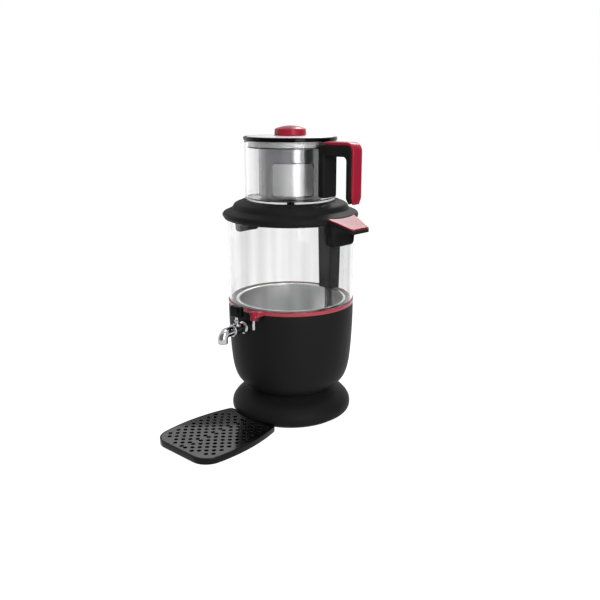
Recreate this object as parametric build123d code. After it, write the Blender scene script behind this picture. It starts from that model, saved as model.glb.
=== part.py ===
from build123d import *
import os
from math import atan2, cos, degrees, hypot, pi, radians, sin, sqrt

os.makedirs("parts", exist_ok=True)

# Automatic tea maker: a boiler base with a glass water tank, a tank lid that carries a glass teapot,
# a tap, a brewing toggle and a drip tray. Millimetres. The origin is on the vessel's axis, on the
# surface it stands on. +Z is up, the tap and tray face -Y, and the teapot's handle points along +X.

# Clearances
LIFT_GAP = 0.3  # between pieces that lift or slide apart
FIXED_GAP = 0.05  # round a piece that stays in its hole or groove
TURN_GAP = 0.06  # radial, between a turning shaft and its hole

# Foot and body
FOOT_R = 83.1
FOOT_RING_INSET = 8.1
FOOT_RING_WIDTH = 8.0
FOOT_RING_HEIGHT = 2.0
FOOT_WALL = 3.0
FOOT_TOP = 36.5
NECK_R = 54.5
NECK_LEDGE = 10.5
FLANGE_THICKNESS = 3.0
RIM_FLANGE = 2.5
COVER_THICKNESS = 2.5
COVER_GAP = 0.5
POST_R = 4.0
POST_INSET = 17.0
SCREW_R = 1.5
SCREW_HEAD_R = 3.0
SCREW_HEAD_HEIGHT = 1.4
SCREW_LENGTH = 12.0
BODY_R = 85.2
BODY_WALL = 2.8
BODY_HEIGHT = 121.2

# Trim ring, bowl and tank
RING_HEIGHT = 4.8
RING_LIP = 0.9
RING_SPIGOT = 4.7
RING_SPIGOT_WIDTH = 3.4
BOWL_MARGIN = 10.8
BOWL_WALL = 1.0
BOWL_FLANGE_WIDTH = 4.4
BOWL_DEPTH = 66.0
BOWL_CORNER_R = 26.0
GROOVE_DEPTH = 3.0
TANK_INSET = 0.6
TANK_WALL = 3.0
TANK_HEIGHT = 114.5
SEAL_THICKNESS = 1.0

# Heater below the bowl
HEATER_MARGIN = 3.6
HEATER_PLATE_THICKNESS = 6.0
ELEMENT_INSET = 9.0
ELEMENT_TUBE_R = 3.4
ELEMENT_SWEEP = 300.0
ELEMENT_LEG = 12.0
THERMOSTAT_R = 12.0
THERMOSTAT_HEIGHT = 9.0
FUSE_R = 2.5
FUSE_LENGTH = 16.0

# Tank lid with its two grips
LID_OVERHANG = 5.2
LID_SKIRT = 3.4
LID_WALL = 2.6
LIP_WIDTH = 11.6
LIP_HEIGHT = 12.8
LEDGE_THICKNESS = 2.4
SEAT_MARGIN = 2.5
SEAT_RISE = 24.0
SEAT_RECESS = 0.6
SEAT_THICKNESS = 2.4
SEAT_LEDGE = 13.0
STEAM_PLATE_THICKNESS = 1.2
STEAM_HOLE_R = 3.0
STEAM_HOLES = 8
STEAM_INSET = 15.5
DRAIN_NOTCHES = 12
UNDERPLATE_THICKNESS = 2.5
UNDERPLATE_HOLE_R = 30.0
UNDERPLATE_DROP = 5.0
GASKET_SKIRT = 1.4
GRIP_HALF_WIDTH = 26.0
GRIP_BLOCK_PAST = 1.7
GRIP_HANG = 27.6
POCKET_R = 24.0
POCKET_DEPTH = 3.0
POCKET_RISE = 13.75
BEAK_OUT = 28.7
BEAK_HALF_WIDTH = 17.0
BEAK_RISE = 9.9
BEAK_DROP = 12.5
BEAK_THICKNESS = 4.0
GRIP_COVER_THICKNESS = 1.7
GRIP_COVER_MARGIN = 1.2
TONGUE_HALF_WIDTH = 11.0
TONGUE_THICKNESS = 1.6
TONGUE_ROOT = 0.3

# Riser from the bowl to the teapot
RISER_TURN = -8.0  # degrees from +Y
RISER_TOP_WIDTH = 31.0
RISER_BOTTOM_WIDTH = 24.0
RISER_DEPTH = 19.1
RISER_BACK_GAP = 1.0
RISER_WALL = 1.8
RISER_FLOOR_GAP = 2.0
RISER_TUBE_R = 3.2
RISER_TUBE_SET = 5.5
RISER_TUBE_LIFT = 25.5
NOZZLE_R = 5.0
NOZZLE_LENGTH = 16.0

# Teapot
JUG_MARGIN = 24.6
JUG_WALL = 2.2
JUG_FLOOR = 3.0
JUG_HEIGHT = 75.7
JUG_CORNER_R = 3.4
VALVE_R = 7.0
HANDLE_PAD = 0.8
HANDLE_MOUNT_THICKNESS = 8.2
HANDLE_MOUNT_HALF = 13.2
HANDLE_MOUNT_RISE = 7.7
HANDLE_RISE = 1.4
HANDLE_BAR_HEIGHT = 17.6
HANDLE_OUT = 50.8
GRIP_DEPTH = 11.5
HANDLE_GRIP_HALF = 9.2
HANDLE_GRIP_LENGTH = 73.9
HANDLE_COVER = 4.2
HANDLE_CORNER_R = 11.0
FINGER_CORNER_R = 5.5

# Infuser
INFUSER_RIM_GAP = 3.1
INFUSER_SHEET = 0.8
INFUSER_RIM_DEPTH = 7.8
INFUSER_R = 41.5
INFUSER_LIFT = 2.3
WINDOW_ANGLE = 80.0
WINDOW_RISE = 2.0
WINDOW_HEIGHT = 42.8
WINDOW_TURN = -42.0
WINDOW_CORNER_R = 5.0
SCREEN_THICKNESS = 0.4
SIEVE_HOLE_R = 1.5
SIEVE_PITCH = 9.0

# Teapot lid
POT_LID_OVERHANG = 1.0
POT_LID_HEIGHT = 5.2
POT_LID_BAND = 10.5
LID_PLATE_THICKNESS = 1.4
LID_PLATE_DOME = 1.2
LID_PLATE_INSET = 4.0
LID_SEAL_DEPTH = 6.0
KNOB_R = 20.8
KNOB_HEIGHT = 12.2
KNOB_SHOULDER = 8.0
KNOB_TAPER = 0.7
KNOB_EDGE_R = 0.9
KNOB_SCREW_R = 2.0

# Tap
TAP_DROP = 24.0
TAP_TUBE_R = 6.3
TAP_BORE_R = 4.6
TAP_INNER_LENGTH = 8.6
SPOUT_REACH = 41.3
SPOUT_DROP = 13.1
SPOUT_BEND_R = 7.6
VALVE_REACH = 16.6
COLLAR_R = 7.9
COLLAR_REACH = 24.3
COLLAR_LENGTH = 2.8
BOSS_R = 4.7
BOSS_RISE = 8.1
PLUG_R = 3.6
PLUG_DROP = 7.0
STEM_R = 2.2
TAP_KNOB_RISE = 9.4
TAP_KNOB_HEIGHT = 13.6
TAP_KNOB_HALF_LENGTH = 10.6
TAP_KNOB_HALF_WIDTH = 5.0
TAP_FLANGE_R = 8.2
TAP_FLANGE_THICKNESS = 6.0
NUT_FLATS = 19.0
NUT_THICKNESS = 4.0
WASHER_R = 7.9
WASHER_THICKNESS = 2.4
WATERWAY_R = 2.4

# Brewing toggle
TOGGLE_X = 24.8
TOGGLE_OUT = 10.8
TOGGLE_RISE = 2.9
TOGGLE_FLANGE_R = 5.5
TOGGLE_FLANGE_THICKNESS = 2.4
BARREL_R = 4.2
BARREL_LENGTH = 10.8
PIVOT_DROP = 6.0
TOGGLE_ROD_R = 1.9
TOGGLE_ROD_LENGTH = 17.8
TOGGLE_PIN_R = 0.8
BRACKET_HALF_WIDTH = 3.5
BRACKET_DROP = 2.6
BRACKET_HEIGHT = 10.2

# Drip tray
TRAY_HALF_WIDTH = 54.4
TRAY_WIDEST_AT = 73.5
TRAY_SIDE_R = 234.0
TRAY_SCOOP = 6.6
TRAY_LENGTH = 128.5
TRAY_TOP = 9.2
TRAY_WALL = 1.8
TRAY_FLOOR = 1.4
TRAY_CORNER_R = 24.0
TRAY_BACK_CORNER_R = 6.0
PAD_THICKNESS = 0.9
PAD_R = 5.0
PAD_INSET = 16.0
GRID_THICKNESS = 1.6
GRID_HOLE_R = 2.8
GRID_STEP = 6.4
GRID_MARGIN = 8.5
GRID_BACK_RIM = 3.0
TONGUE_HALF = 21.0
TONGUE_HEIGHT = 2.0
TONGUE_LOW = 5.0
TONGUE_REACH = 15.1

# Cord gland and microswitch
GLAND_R = 6.0
GLAND_BORE_R = 3.5
GLAND_HEIGHT = 66.0
GLAND_FLANGE_R = 8.5
GLAND_WALL_SHARE = 0.93
SWITCH_WIDTH = 20.0
SWITCH_DEPTH = 6.0
SWITCH_HEIGHT = 10.0
SWITCH_DROP = 19.7

# Outlines as (share of the overhang beyond the neck, share of the height)
FOOT_CURVE = [(0.77, 0), (0.955, 0.087), (1, 0.246), (0.972, 0.391), (0.857, 0.551), (0.647, 0.71),
              (0.262, 0.884), (0, 1)]
BODY_CURVE = [(0, 0), (0.114, 0.025), (0.375, 0.062), (0.64, 0.128), (0.815, 0.243), (0.92, 0.441),
              (0.98, 0.705), (1, 0.92), (1, 1)]

# Derived heights and radii
FOOT_RING_R = FOOT_R - FOOT_RING_INSET
NECK_BORE_R = NECK_R - NECK_LEDGE
POST_CIRCLE_R = FOOT_RING_R - FOOT_RING_WIDTH - POST_INSET
BODY_TOP = FOOT_TOP + BODY_HEIGHT
RING_TOP = BODY_TOP + RING_HEIGHT
TANK_R = BODY_R - TANK_INSET
RING_R = TANK_R + FIXED_GAP + RING_LIP
GROOVE_FLOOR = RING_TOP - GROOVE_DEPTH
TANK_BOTTOM = GROOVE_FLOOR + SEAL_THICKNESS
TANK_TOP = TANK_BOTTOM + TANK_HEIGHT
TANK_BORE_R = TANK_R - TANK_WALL
BOWL_FLOOR = RING_TOP - BOWL_DEPTH
BODY_BORE_R = BODY_R - BODY_WALL
BOWL_R = BODY_BORE_R - BOWL_MARGIN
BOWL_BORE_R = BOWL_R - BOWL_WALL
HEATER_PLATE_R = BOWL_R - BOWL_CORNER_R - HEATER_MARGIN
HEATER_BOTTOM = BOWL_FLOOR - HEATER_PLATE_THICKNESS
ELEMENT_R = HEATER_PLATE_R - ELEMENT_INSET
ELEMENT_HEIGHT = HEATER_BOTTOM - ELEMENT_TUBE_R
TANK_SEAL_TOP = TANK_TOP + SEAL_THICKNESS
LID_R = TANK_R + LID_OVERHANG
LID_BOTTOM = TANK_TOP - LID_SKIRT
JUG_R = TANK_R - JUG_MARGIN
SEAT_R = JUG_R + SEAT_MARGIN
SEAT_BORE_R = SEAT_R - SEAT_LEDGE
SEAT_HEIGHT = LID_BOTTOM + SEAT_RISE
SEAT_FLOOR = SEAT_HEIGHT - SEAT_RECESS
STEAM_CIRCLE_R = SEAT_BORE_R - STEAM_INSET
UNDERPLATE_R = TANK_BORE_R - GASKET_SKIRT
UNDERPLATE_LOW = TANK_TOP - UNDERPLATE_DROP
GRIP_BLOCK_OUT = LID_R + GRIP_BLOCK_PAST
GRIP_BOTTOM = LID_BOTTOM - GRIP_HANG
POCKET_HEIGHT = GRIP_BOTTOM + POCKET_RISE
BEAK_REACH = LID_R + BEAK_OUT
BEAK_TOP = LID_BOTTOM + BEAK_RISE
RISER_BACK_R = TANK_BORE_R - RISER_BACK_GAP
RISER_FRONT = RISER_BACK_R - RISER_DEPTH
RISER_BOTTOM = RING_TOP + RISER_FLOOR_GAP
RISER_TUBE_Y = RISER_FRONT + RISER_TUBE_SET
RISER_TUBE_BOTTOM = BOWL_FLOOR + RISER_TUBE_LIFT
JUG_BOTTOM = SEAT_FLOOR + LIFT_GAP
JUG_TOP = JUG_BOTTOM + JUG_HEIGHT
JUG_BORE_R = JUG_R - JUG_WALL
JUG_FLOOR_TOP = JUG_BOTTOM + JUG_FLOOR
FLANGE_TOP = JUG_TOP + INFUSER_SHEET
INFUSER_RIM_R = JUG_BORE_R - INFUSER_RIM_GAP
INFUSER_RIM_BOTTOM = JUG_TOP - INFUSER_RIM_DEPTH
INFUSER_BOTTOM = JUG_FLOOR_TOP + INFUSER_LIFT
WINDOW_BOTTOM = INFUSER_BOTTOM + WINDOW_RISE
WINDOW_TOP = WINDOW_BOTTOM + WINDOW_HEIGHT
POT_LID_R = JUG_R + POT_LID_OVERHANG
POT_LID_TOP = FLANGE_TOP + POT_LID_HEIGHT
LID_PLATE_R = POT_LID_R - LID_PLATE_INSET
KNOB_LOW = POT_LID_TOP + LID_PLATE_DOME
HANDLE_REACH = JUG_R + HANDLE_OUT
HANDLE_TOP = JUG_TOP + HANDLE_RISE
HANDLE_BAR_BOTTOM = HANDLE_TOP - HANDLE_BAR_HEIGHT
HANDLE_GRIP_BOTTOM = HANDLE_TOP - HANDLE_GRIP_LENGTH
HANDLE_MOUNT_BOTTOM = JUG_BOTTOM + HANDLE_MOUNT_RISE
HANDLE_SCREW_HEIGHTS = (HANDLE_GRIP_BOTTOM + 12, HANDLE_BAR_BOTTOM - 8)
WINDOW_TURNS = [WINDOW_TURN + 120 * index for index in range(3)]
TAP_HEIGHT = RING_TOP - TAP_DROP
TAP_INNER_END = -BOWL_BORE_R + TAP_INNER_LENGTH
SPOUT_Y = -BODY_R - SPOUT_REACH
SPOUT_BOTTOM = TAP_HEIGHT - SPOUT_DROP
VALVE_Y = -BODY_R - VALVE_REACH
COLLAR_Y = -BODY_R - COLLAR_REACH
BOSS_TOP = TAP_HEIGHT + BOSS_RISE
PLUG_BOTTOM = TAP_HEIGHT - PLUG_DROP
TAP_KNOB_BOTTOM = BOSS_TOP + TAP_KNOB_RISE
TAP_HOLE_R = TAP_TUBE_R + FIXED_GAP
TOGGLE_Y = -BODY_R - TOGGLE_OUT
TOGGLE_TOP = RING_TOP + TOGGLE_RISE
TOGGLE_PIVOT = TOGGLE_TOP - PIVOT_DROP
TOGGLE_ROD_BOTTOM = TOGGLE_PIVOT - TOGGLE_ROD_LENGTH
BARREL_BOTTOM = TOGGLE_TOP - BARREL_LENGTH
BRACKET_TOP = TOGGLE_TOP - BRACKET_DROP
BRACKET_BOTTOM = BRACKET_TOP - BRACKET_HEIGHT
SWITCH_LOW = BODY_TOP - SWITCH_DROP
TRAY_BACK = -FOOT_R + TRAY_SCOOP
TRAY_FRONT = TRAY_BACK - TRAY_LENGTH
TRAY_WIDEST = TRAY_BACK - TRAY_WIDEST_AT
TONGUE_END = -FOOT_R + TONGUE_REACH
GRID_LOW = TRAY_TOP - GRID_THICKNESS
GRID_BACK = -FOOT_R - 2 * LIFT_GAP - GRID_BACK_RIM
RISER_ROTATION = Rot(0, 0, RISER_TURN)
COVER_LOW = FOOT_RING_HEIGHT
COVER_TOP = COVER_LOW + COVER_THICKNESS
COVER_R = FOOT_RING_R - FOOT_RING_WIDTH - COVER_GAP - 2 * FIXED_GAP
PILOT_R = SCREW_R + FIXED_GAP
HEAD_HOLE_R = SCREW_HEAD_R + 2 * FIXED_GAP


def spun(*corners):
    """Turn a closed outline of (radius, height, corner radius) about the vertical axis."""
    points = [(r, 0, z) for r, z, _ in corners]
    outline = FilletPolyline(*points, radius=[corner for _, _, corner in corners], close=True)
    return revolve(make_face(outline), Axis.Z)


def ring(inner, outer, low, high, corner=0):
    """A flat ring, or a disc where the inner radius is 0."""
    inside = 0 if inner == 0 else corner
    return spun((inner, low, inside), (outer, low, corner), (outer, high, corner), (inner, high, inside))


def rod(radius, low, high, x=0, y=0):
    return Pos(x, y, (low + high) / 2) * Cylinder(radius, high - low)


def rod_along_y(radius, start, end, x, z):
    return Pos(x, (start + end) / 2, z) * Rot(90, 0, 0) * Cylinder(radius, abs(end - start))


def rod_along_x(radius, start, end, y, z):
    return Pos((start + end) / 2, y, z) * Rot(0, 90, 0) * Cylinder(radius, abs(end - start))


def block(low, high):
    size = [b - a for a, b in zip(low, high)]
    centre = [(a + b) / 2 for a, b in zip(low, high)]
    return Pos(*centre) * Box(*size)


def prism(plane, points, depth, both=False, corner=0):
    """Extrude a closed outline drawn on a plane."""
    outline = FilletPolyline(*points, radius=corner, close=True)
    return extrude(plane * make_face(outline), amount=depth, both=both)


def around(count, radius, start=0.0):
    """Points evenly spaced on a circle."""
    step = 2 * pi / count
    angles = [radians(start) + index * step for index in range(count)]
    return [(radius * cos(angle), radius * sin(angle)) for angle in angles]


def curve_between(shares, inner, outer, low, high):
    return [(inner + out * (outer - inner), low + up * (high - low)) for out, up in shares]


def inset(points, wall):
    """Move each point of a rising outline inwards, square to the outline."""
    moved = []
    for index, (r, z) in enumerate(points):
        r0, z0 = points[max(index - 1, 0)]
        r1, z1 = points[min(index + 1, len(points) - 1)]
        length = hypot(r1 - r0, z1 - z0)
        moved.append((r - wall * (z1 - z0) / length, z + wall * (r1 - r0) / length))
    return moved


def spun_shell(points, wall):
    """Turn a smooth wall of even thickness about the vertical axis."""
    outer = [(r, 0, z) for r, z in points]
    inner = [(r, 0, z) for r, z in reversed(inset(points, wall))]
    edges = [Spline(*outer), Line(outer[-1], inner[0]), Spline(*inner), Line(inner[-1], outer[0])]
    return revolve(make_face(Wire(edges)), Axis.Z)


def screws(places, head_low, length):
    """Pan-head screws pointing up."""
    group = []
    for x, y in places:
        head = rod(SCREW_HEAD_R, head_low, head_low + SCREW_HEAD_HEIGHT, x, y)
        shank = rod(SCREW_R, head_low + SCREW_HEAD_HEIGHT - 0.2, head_low + length, x, y)
        group.append(head + shank)
    return Compound(children=group)


POST_PLACES = around(4, POST_CIRCLE_R, 45)
NECK_SCREW_PLACES = around(4, (NECK_BORE_R + NECK_R) / 2)


# Foot


def tongue_window():
    """The slot in the foot that the drip tray's tongue slides into."""
    return block((-TONGUE_HALF - 2 * LIFT_GAP, -FOOT_R - 5, TONGUE_LOW - LIFT_GAP),
                 (TONGUE_HALF + 2 * LIFT_GAP, TONGUE_END + 3, TONGUE_LOW + TONGUE_HEIGHT + LIFT_GAP))


def make_foot_shell():
    points = curve_between(FOOT_CURVE, NECK_R, FOOT_R, FOOT_RING_HEIGHT, FOOT_TOP)
    shell = spun_shell(points, FOOT_WALL)
    rim_inner = FOOT_RING_R - FOOT_RING_WIDTH - COVER_GAP
    shell += ring(rim_inner, points[0][0] - 0.1, FOOT_RING_HEIGHT, FOOT_RING_HEIGHT + RIM_FLANGE)
    shell += ring(NECK_BORE_R, NECK_R - 0.1, FOOT_TOP - FLANGE_THICKNESS, FOOT_TOP)
    for x, y in POST_PLACES:
        shell += rod(POST_R, COVER_TOP, FOOT_TOP - FLANGE_THICKNESS / 2, x, y)
    for x, y in POST_PLACES:
        shell -= rod(PILOT_R, COVER_TOP - 1, COVER_TOP + SCREW_LENGTH + 2, x, y)
    for x, y in NECK_SCREW_PLACES:
        shell -= rod(PILOT_R, FOOT_TOP - FLANGE_THICKNESS - 1, FOOT_TOP + 1, x, y)
    return shell - tongue_window()


def make_foot_ring():
    return ring(FOOT_RING_R - FOOT_RING_WIDTH, FOOT_RING_R, 0, FOOT_RING_HEIGHT, 0.3)


def make_bottom_cover():
    cover = ring(0, COVER_R, COVER_LOW, COVER_TOP)
    for x, y in POST_PLACES:
        cover -= rod(HEAD_HOLE_R, COVER_LOW - 1, COVER_LOW + SCREW_HEAD_HEIGHT, x, y)
        cover -= rod(PILOT_R, COVER_LOW - 1, COVER_TOP + 1, x, y)
    return cover


def make_cover_screws():
    return screws(POST_PLACES, COVER_LOW, COVER_THICKNESS + SCREW_LENGTH)


def make_neck_screws():
    low = FOOT_TOP - FLANGE_THICKNESS - SCREW_HEAD_HEIGHT
    return screws(NECK_SCREW_PLACES, low, SCREW_HEAD_HEIGHT + 2 * FLANGE_THICKNESS - 0.5)


# Body

def make_body_shell():
    points = curve_between(BODY_CURVE, NECK_R, BODY_R, FOOT_TOP, BODY_TOP)
    shell = spun_shell(points, BODY_WALL)
    shell += ring(NECK_BORE_R, NECK_R - 0.3, FOOT_TOP, FOOT_TOP + FLANGE_THICKNESS)
    for x, y in NECK_SCREW_PLACES:
        shell -= rod(PILOT_R, FOOT_TOP - 1, FOOT_TOP + FLANGE_THICKNESS + 1, x, y)
    shell -= rod_along_y(TAP_HOLE_R, -BODY_R - 5, -BODY_R + 12, 0, TAP_HEIGHT)
    shell -= rod_along_y(GLAND_R + FIXED_GAP, NECK_R, BODY_R + 5, 0, GLAND_HEIGHT)
    return shell


def make_trim_ring():
    ledge_bore = BOWL_R + FIXED_GAP
    ledge = RING_TOP - BOWL_WALL
    spigot_out = BODY_BORE_R - FIXED_GAP
    spigot_in = spigot_out - RING_SPIGOT_WIDTH
    seat = BOWL_BORE_R + BOWL_FLANGE_WIDTH + FIXED_GAP
    spigot_low = BODY_TOP - RING_SPIGOT
    return spun((ledge_bore, BODY_TOP, 0), (spigot_in, BODY_TOP, 0), (spigot_in, spigot_low, 0.3),
                (spigot_out, spigot_low, 0.3), (spigot_out, BODY_TOP, 0), (RING_R, BODY_TOP, 0.5),
                (RING_R, RING_TOP, 0.35), (TANK_R + FIXED_GAP, RING_TOP, 0.35),
                (TANK_R + FIXED_GAP, GROOVE_FLOOR, 0), (TANK_BORE_R - FIXED_GAP, GROOVE_FLOOR, 0),
                (TANK_BORE_R - FIXED_GAP, RING_TOP, 0.5), (seat, RING_TOP, 0.2), (seat, ledge, 0),
                (ledge_bore, ledge, 0))


def make_tank_seal():
    return ring(TANK_BORE_R, TANK_R, GROOVE_FLOOR, TANK_BOTTOM)


def make_boiler_bowl():
    inner = BOWL_BORE_R
    rim = RING_TOP - BOWL_WALL
    flange = inner + BOWL_FLANGE_WIDTH
    bowl = spun((0, BOWL_FLOOR, 0), (BOWL_R, BOWL_FLOOR, BOWL_CORNER_R), (BOWL_R, rim, 0), (flange, rim, 0),
                (flange, RING_TOP, 0.4), (inner, RING_TOP, 1.2),
                (inner, BOWL_FLOOR + BOWL_WALL, BOWL_CORNER_R - BOWL_WALL), (0, BOWL_FLOOR + BOWL_WALL, 0))
    return bowl - rod_along_y(TAP_HOLE_R, -BOWL_R - 5, -BOWL_R + 12, 0, TAP_HEIGHT)


def make_tank_glass():
    return ring(TANK_BORE_R, TANK_R, TANK_BOTTOM, TANK_TOP, 0.8)


# Heater

def make_heater_plate():
    return ring(0, HEATER_PLATE_R, HEATER_BOTTOM, BOWL_FLOOR, 0.5)


def make_heater_element():
    """A nearly closed ring of tube with two straight legs."""
    half = ELEMENT_SWEEP / 2
    arc = CenterArc((0, 0, ELEMENT_HEIGHT), ELEMENT_R, -half, ELEMENT_SWEEP)
    section = Plane(origin=arc @ 0, z_dir=arc % 0) * Circle(ELEMENT_TUBE_R)
    element = sweep(section, path=arc)
    for sign in (-1, 1):
        angle = radians(sign * half)
        x, y = ELEMENT_R * cos(angle), ELEMENT_R * sin(angle)
        element += rod(ELEMENT_TUBE_R, ELEMENT_HEIGHT - ELEMENT_LEG, ELEMENT_HEIGHT, x, y)
        element += Pos(x, y, ELEMENT_HEIGHT) * Sphere(ELEMENT_TUBE_R)
    return element


def make_thermostat():
    low = HEATER_BOTTOM - THERMOSTAT_HEIGHT
    body = ring(0, THERMOSTAT_R, low + 3, HEATER_BOTTOM)
    return body + ring(0, THERMOSTAT_R - 2, low, low + 3.2)


def make_thermal_fuse():
    x = (ELEMENT_R + THERMOSTAT_R) / 2 - 1
    return rod_along_y(FUSE_R, -FUSE_LENGTH / 2, FUSE_LENGTH / 2, x, HEATER_BOTTOM - FUSE_R)


# Tap

def make_tap_body():
    top = TAP_HEIGHT
    path_points = [(0, -BODY_R, top), (0, SPOUT_Y, top), (0, SPOUT_Y, SPOUT_BOTTOM)]
    path = FilletPolyline(*path_points, radius=SPOUT_BEND_R)
    tube = sweep(Plane(origin=path_points[0], z_dir=(0, -1, 0)) * Circle(TAP_TUBE_R), path=path)
    body = tube + rod_along_y(TAP_TUBE_R, TAP_INNER_END, -BODY_R - 0.1, 0, top)
    flange_back = -BODY_R - 1.2
    flange = rod_along_y(TAP_FLANGE_R, flange_back, flange_back - TAP_FLANGE_THICKNESS, 0, top)
    body += fillet(flange.edges().group_by(Axis.Y)[0], 0.9)
    collar = rod_along_y(COLLAR_R, COLLAR_Y + COLLAR_LENGTH / 2, COLLAR_Y - COLLAR_LENGTH / 2, 0, top)
    body += fillet(collar.edges().filter_by(GeomType.CIRCLE), 1.0)
    body += rod(BOSS_R, top, BOSS_TOP, 0, VALVE_Y)
    bore = sweep(Plane(origin=path_points[0], z_dir=(0, -1, 0)) * Circle(TAP_BORE_R), path=path)
    bore += rod_along_y(TAP_BORE_R, TAP_INNER_END + 1, -BODY_R - 0.1, 0, top)
    bore += rod(TAP_BORE_R, SPOUT_BOTTOM - 1, SPOUT_BOTTOM + 1, 0, SPOUT_Y)
    body -= bore
    plug_seat = rod(BOSS_R, PLUG_BOTTOM - 0.5, BOSS_TOP - 0.5, 0, VALVE_Y)
    plug_seat &= rod_along_y(COLLAR_R - 0.2, VALVE_Y + 6, VALVE_Y - 6, 0, top)
    body += plug_seat
    body -= rod(PLUG_R + TURN_GAP, PLUG_BOTTOM, BOSS_TOP - 1.5, 0, VALVE_Y)
    return body - rod(STEM_R + TURN_GAP, BOSS_TOP - 2, BOSS_TOP + 1, 0, VALVE_Y)


def make_tap_stem():
    """The valve plug, drilled across, with its stem up into the knob."""
    plug = rod(PLUG_R, PLUG_BOTTOM + 0.1, BOSS_TOP - 1.6, 0, VALVE_Y)
    plug += rod(STEM_R, BOSS_TOP - 2, TAP_KNOB_BOTTOM + 6, 0, VALVE_Y)
    return plug - rod_along_x(WATERWAY_R, -PLUG_R - 1, PLUG_R + 1, VALVE_Y, TAP_HEIGHT)


def make_tap_knob():
    """A bar with round ends that crosses the tap when it is shut."""
    outline = SlotOverall(2 * TAP_KNOB_HALF_LENGTH, 2 * TAP_KNOB_HALF_WIDTH)
    knob = extrude(Pos(0, VALVE_Y, TAP_KNOB_BOTTOM) * outline, TAP_KNOB_HEIGHT)
    knob = fillet(knob.edges().group_by(Axis.Z)[-1], 2.6)
    knob = fillet(knob.edges().group_by(Axis.Z)[0], 0.8)
    return knob - rod(STEM_R + FIXED_GAP, TAP_KNOB_BOTTOM - 1, TAP_KNOB_BOTTOM + 6.1, 0, VALVE_Y)


def make_tap_washer():
    """A rubber washer, flat towards the tap and curved towards the body."""
    washer = rod_along_y(WASHER_R, -BODY_R + 4, -BODY_R - 1.2, 0, TAP_HEIGHT)
    washer -= rod_along_y(TAP_HOLE_R, -BODY_R + 6, -BODY_R - 3, 0, TAP_HEIGHT)
    return washer - rod(BODY_R + FIXED_GAP, TAP_HEIGHT - 2 * WASHER_R, TAP_HEIGHT + 2 * WASHER_R)


def make_tap_inner_washer():
    washer = rod_along_y(WASHER_R, -BOWL_BORE_R - 1, -BOWL_BORE_R + WASHER_THICKNESS, 0, TAP_HEIGHT)
    washer -= rod_along_y(TAP_HOLE_R, -BOWL_BORE_R - 3, -BOWL_BORE_R + 4, 0, TAP_HEIGHT)
    return washer & rod(BOWL_BORE_R - FIXED_GAP, TAP_HEIGHT - 2 * WASHER_R, TAP_HEIGHT + 2 * WASHER_R)


def make_tap_nut():
    start = -BOWL_BORE_R + WASHER_THICKNESS
    nut = extrude(Plane(origin=(0, start, TAP_HEIGHT), z_dir=(0, 1, 0))
                  * RegularPolygon(NUT_FLATS / 2, 6, major_radius=False), NUT_THICKNESS)
    return nut - rod_along_y(TAP_HOLE_R, start - 1, start + NUT_THICKNESS + 1, 0, TAP_HEIGHT)


# Brewing toggle

def make_toggle_housing():
    housing = rod(BARREL_R, BARREL_BOTTOM, TOGGLE_TOP - TOGGLE_FLANGE_THICKNESS + 0.2, TOGGLE_X, TOGGLE_Y)
    flange = rod(TOGGLE_FLANGE_R, TOGGLE_TOP - TOGGLE_FLANGE_THICKNESS, TOGGLE_TOP, TOGGLE_X, TOGGLE_Y)
    housing += fillet(flange.edges().group_by(Axis.Z)[-1], 1.0)
    slot_half = TOGGLE_ROD_R + 0.3
    reach = BARREL_R - 0.6
    housing -= block((TOGGLE_X - slot_half, TOGGLE_Y - reach, BARREL_BOTTOM - 1),
                     (TOGGLE_X + slot_half, TOGGLE_Y + slot_half + 0.1, TOGGLE_PIVOT + slot_half + 0.3))
    return housing - rod_along_x(TOGGLE_PIN_R + FIXED_GAP, TOGGLE_X - BARREL_R - 1, TOGGLE_X + BARREL_R + 1,
                                 TOGGLE_Y, TOGGLE_PIVOT)


def make_toggle_rod():
    lever = rod(TOGGLE_ROD_R, TOGGLE_ROD_BOTTOM, TOGGLE_PIVOT, TOGGLE_X, TOGGLE_Y)
    lever = fillet(lever.edges().group_by(Axis.Z)[0], 0.6)
    start, end = TOGGLE_X - TOGGLE_ROD_R, TOGGLE_X + TOGGLE_ROD_R
    lever += rod_along_x(TOGGLE_ROD_R, start, end, TOGGLE_Y, TOGGLE_PIVOT)
    return lever - rod_along_x(TOGGLE_PIN_R + TURN_GAP, TOGGLE_X - 5, TOGGLE_X + 5, TOGGLE_Y, TOGGLE_PIVOT)


def make_toggle_pin():
    half = BARREL_R - 0.3
    return rod_along_x(TOGGLE_PIN_R, TOGGLE_X - half, TOGGLE_X + half, TOGGLE_Y, TOGGLE_PIVOT)


def make_toggle_bracket():
    """The arm that carries the toggle off the body's wall."""
    bracket = block((TOGGLE_X - BRACKET_HALF_WIDTH, TOGGLE_Y, BRACKET_BOTTOM),
                    (TOGGLE_X + BRACKET_HALF_WIDTH, 0, BRACKET_TOP))
    bracket -= rod(RING_R + FIXED_GAP, BODY_TOP - FIXED_GAP, RING_TOP + 5)
    bracket -= rod(BODY_R + FIXED_GAP, BRACKET_BOTTOM - 5, BODY_TOP)
    return bracket - rod(BARREL_R + FIXED_GAP, BRACKET_BOTTOM - 5, BRACKET_TOP + 5, TOGGLE_X, TOGGLE_Y)


def make_microswitch():
    """Flat against the inside of the wall, behind the toggle."""
    turn = degrees(atan2(TOGGLE_X, -TOGGLE_Y))
    out = sqrt((BODY_BORE_R - 0.2) ** 2 - (SWITCH_WIDTH / 2) ** 2)
    body = block((-SWITCH_WIDTH / 2, -out, SWITCH_LOW),
                 (SWITCH_WIDTH / 2, -out + SWITCH_DEPTH, SWITCH_LOW + SWITCH_HEIGHT))
    return Rot(0, 0, turn) * body


# Cord gland

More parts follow.
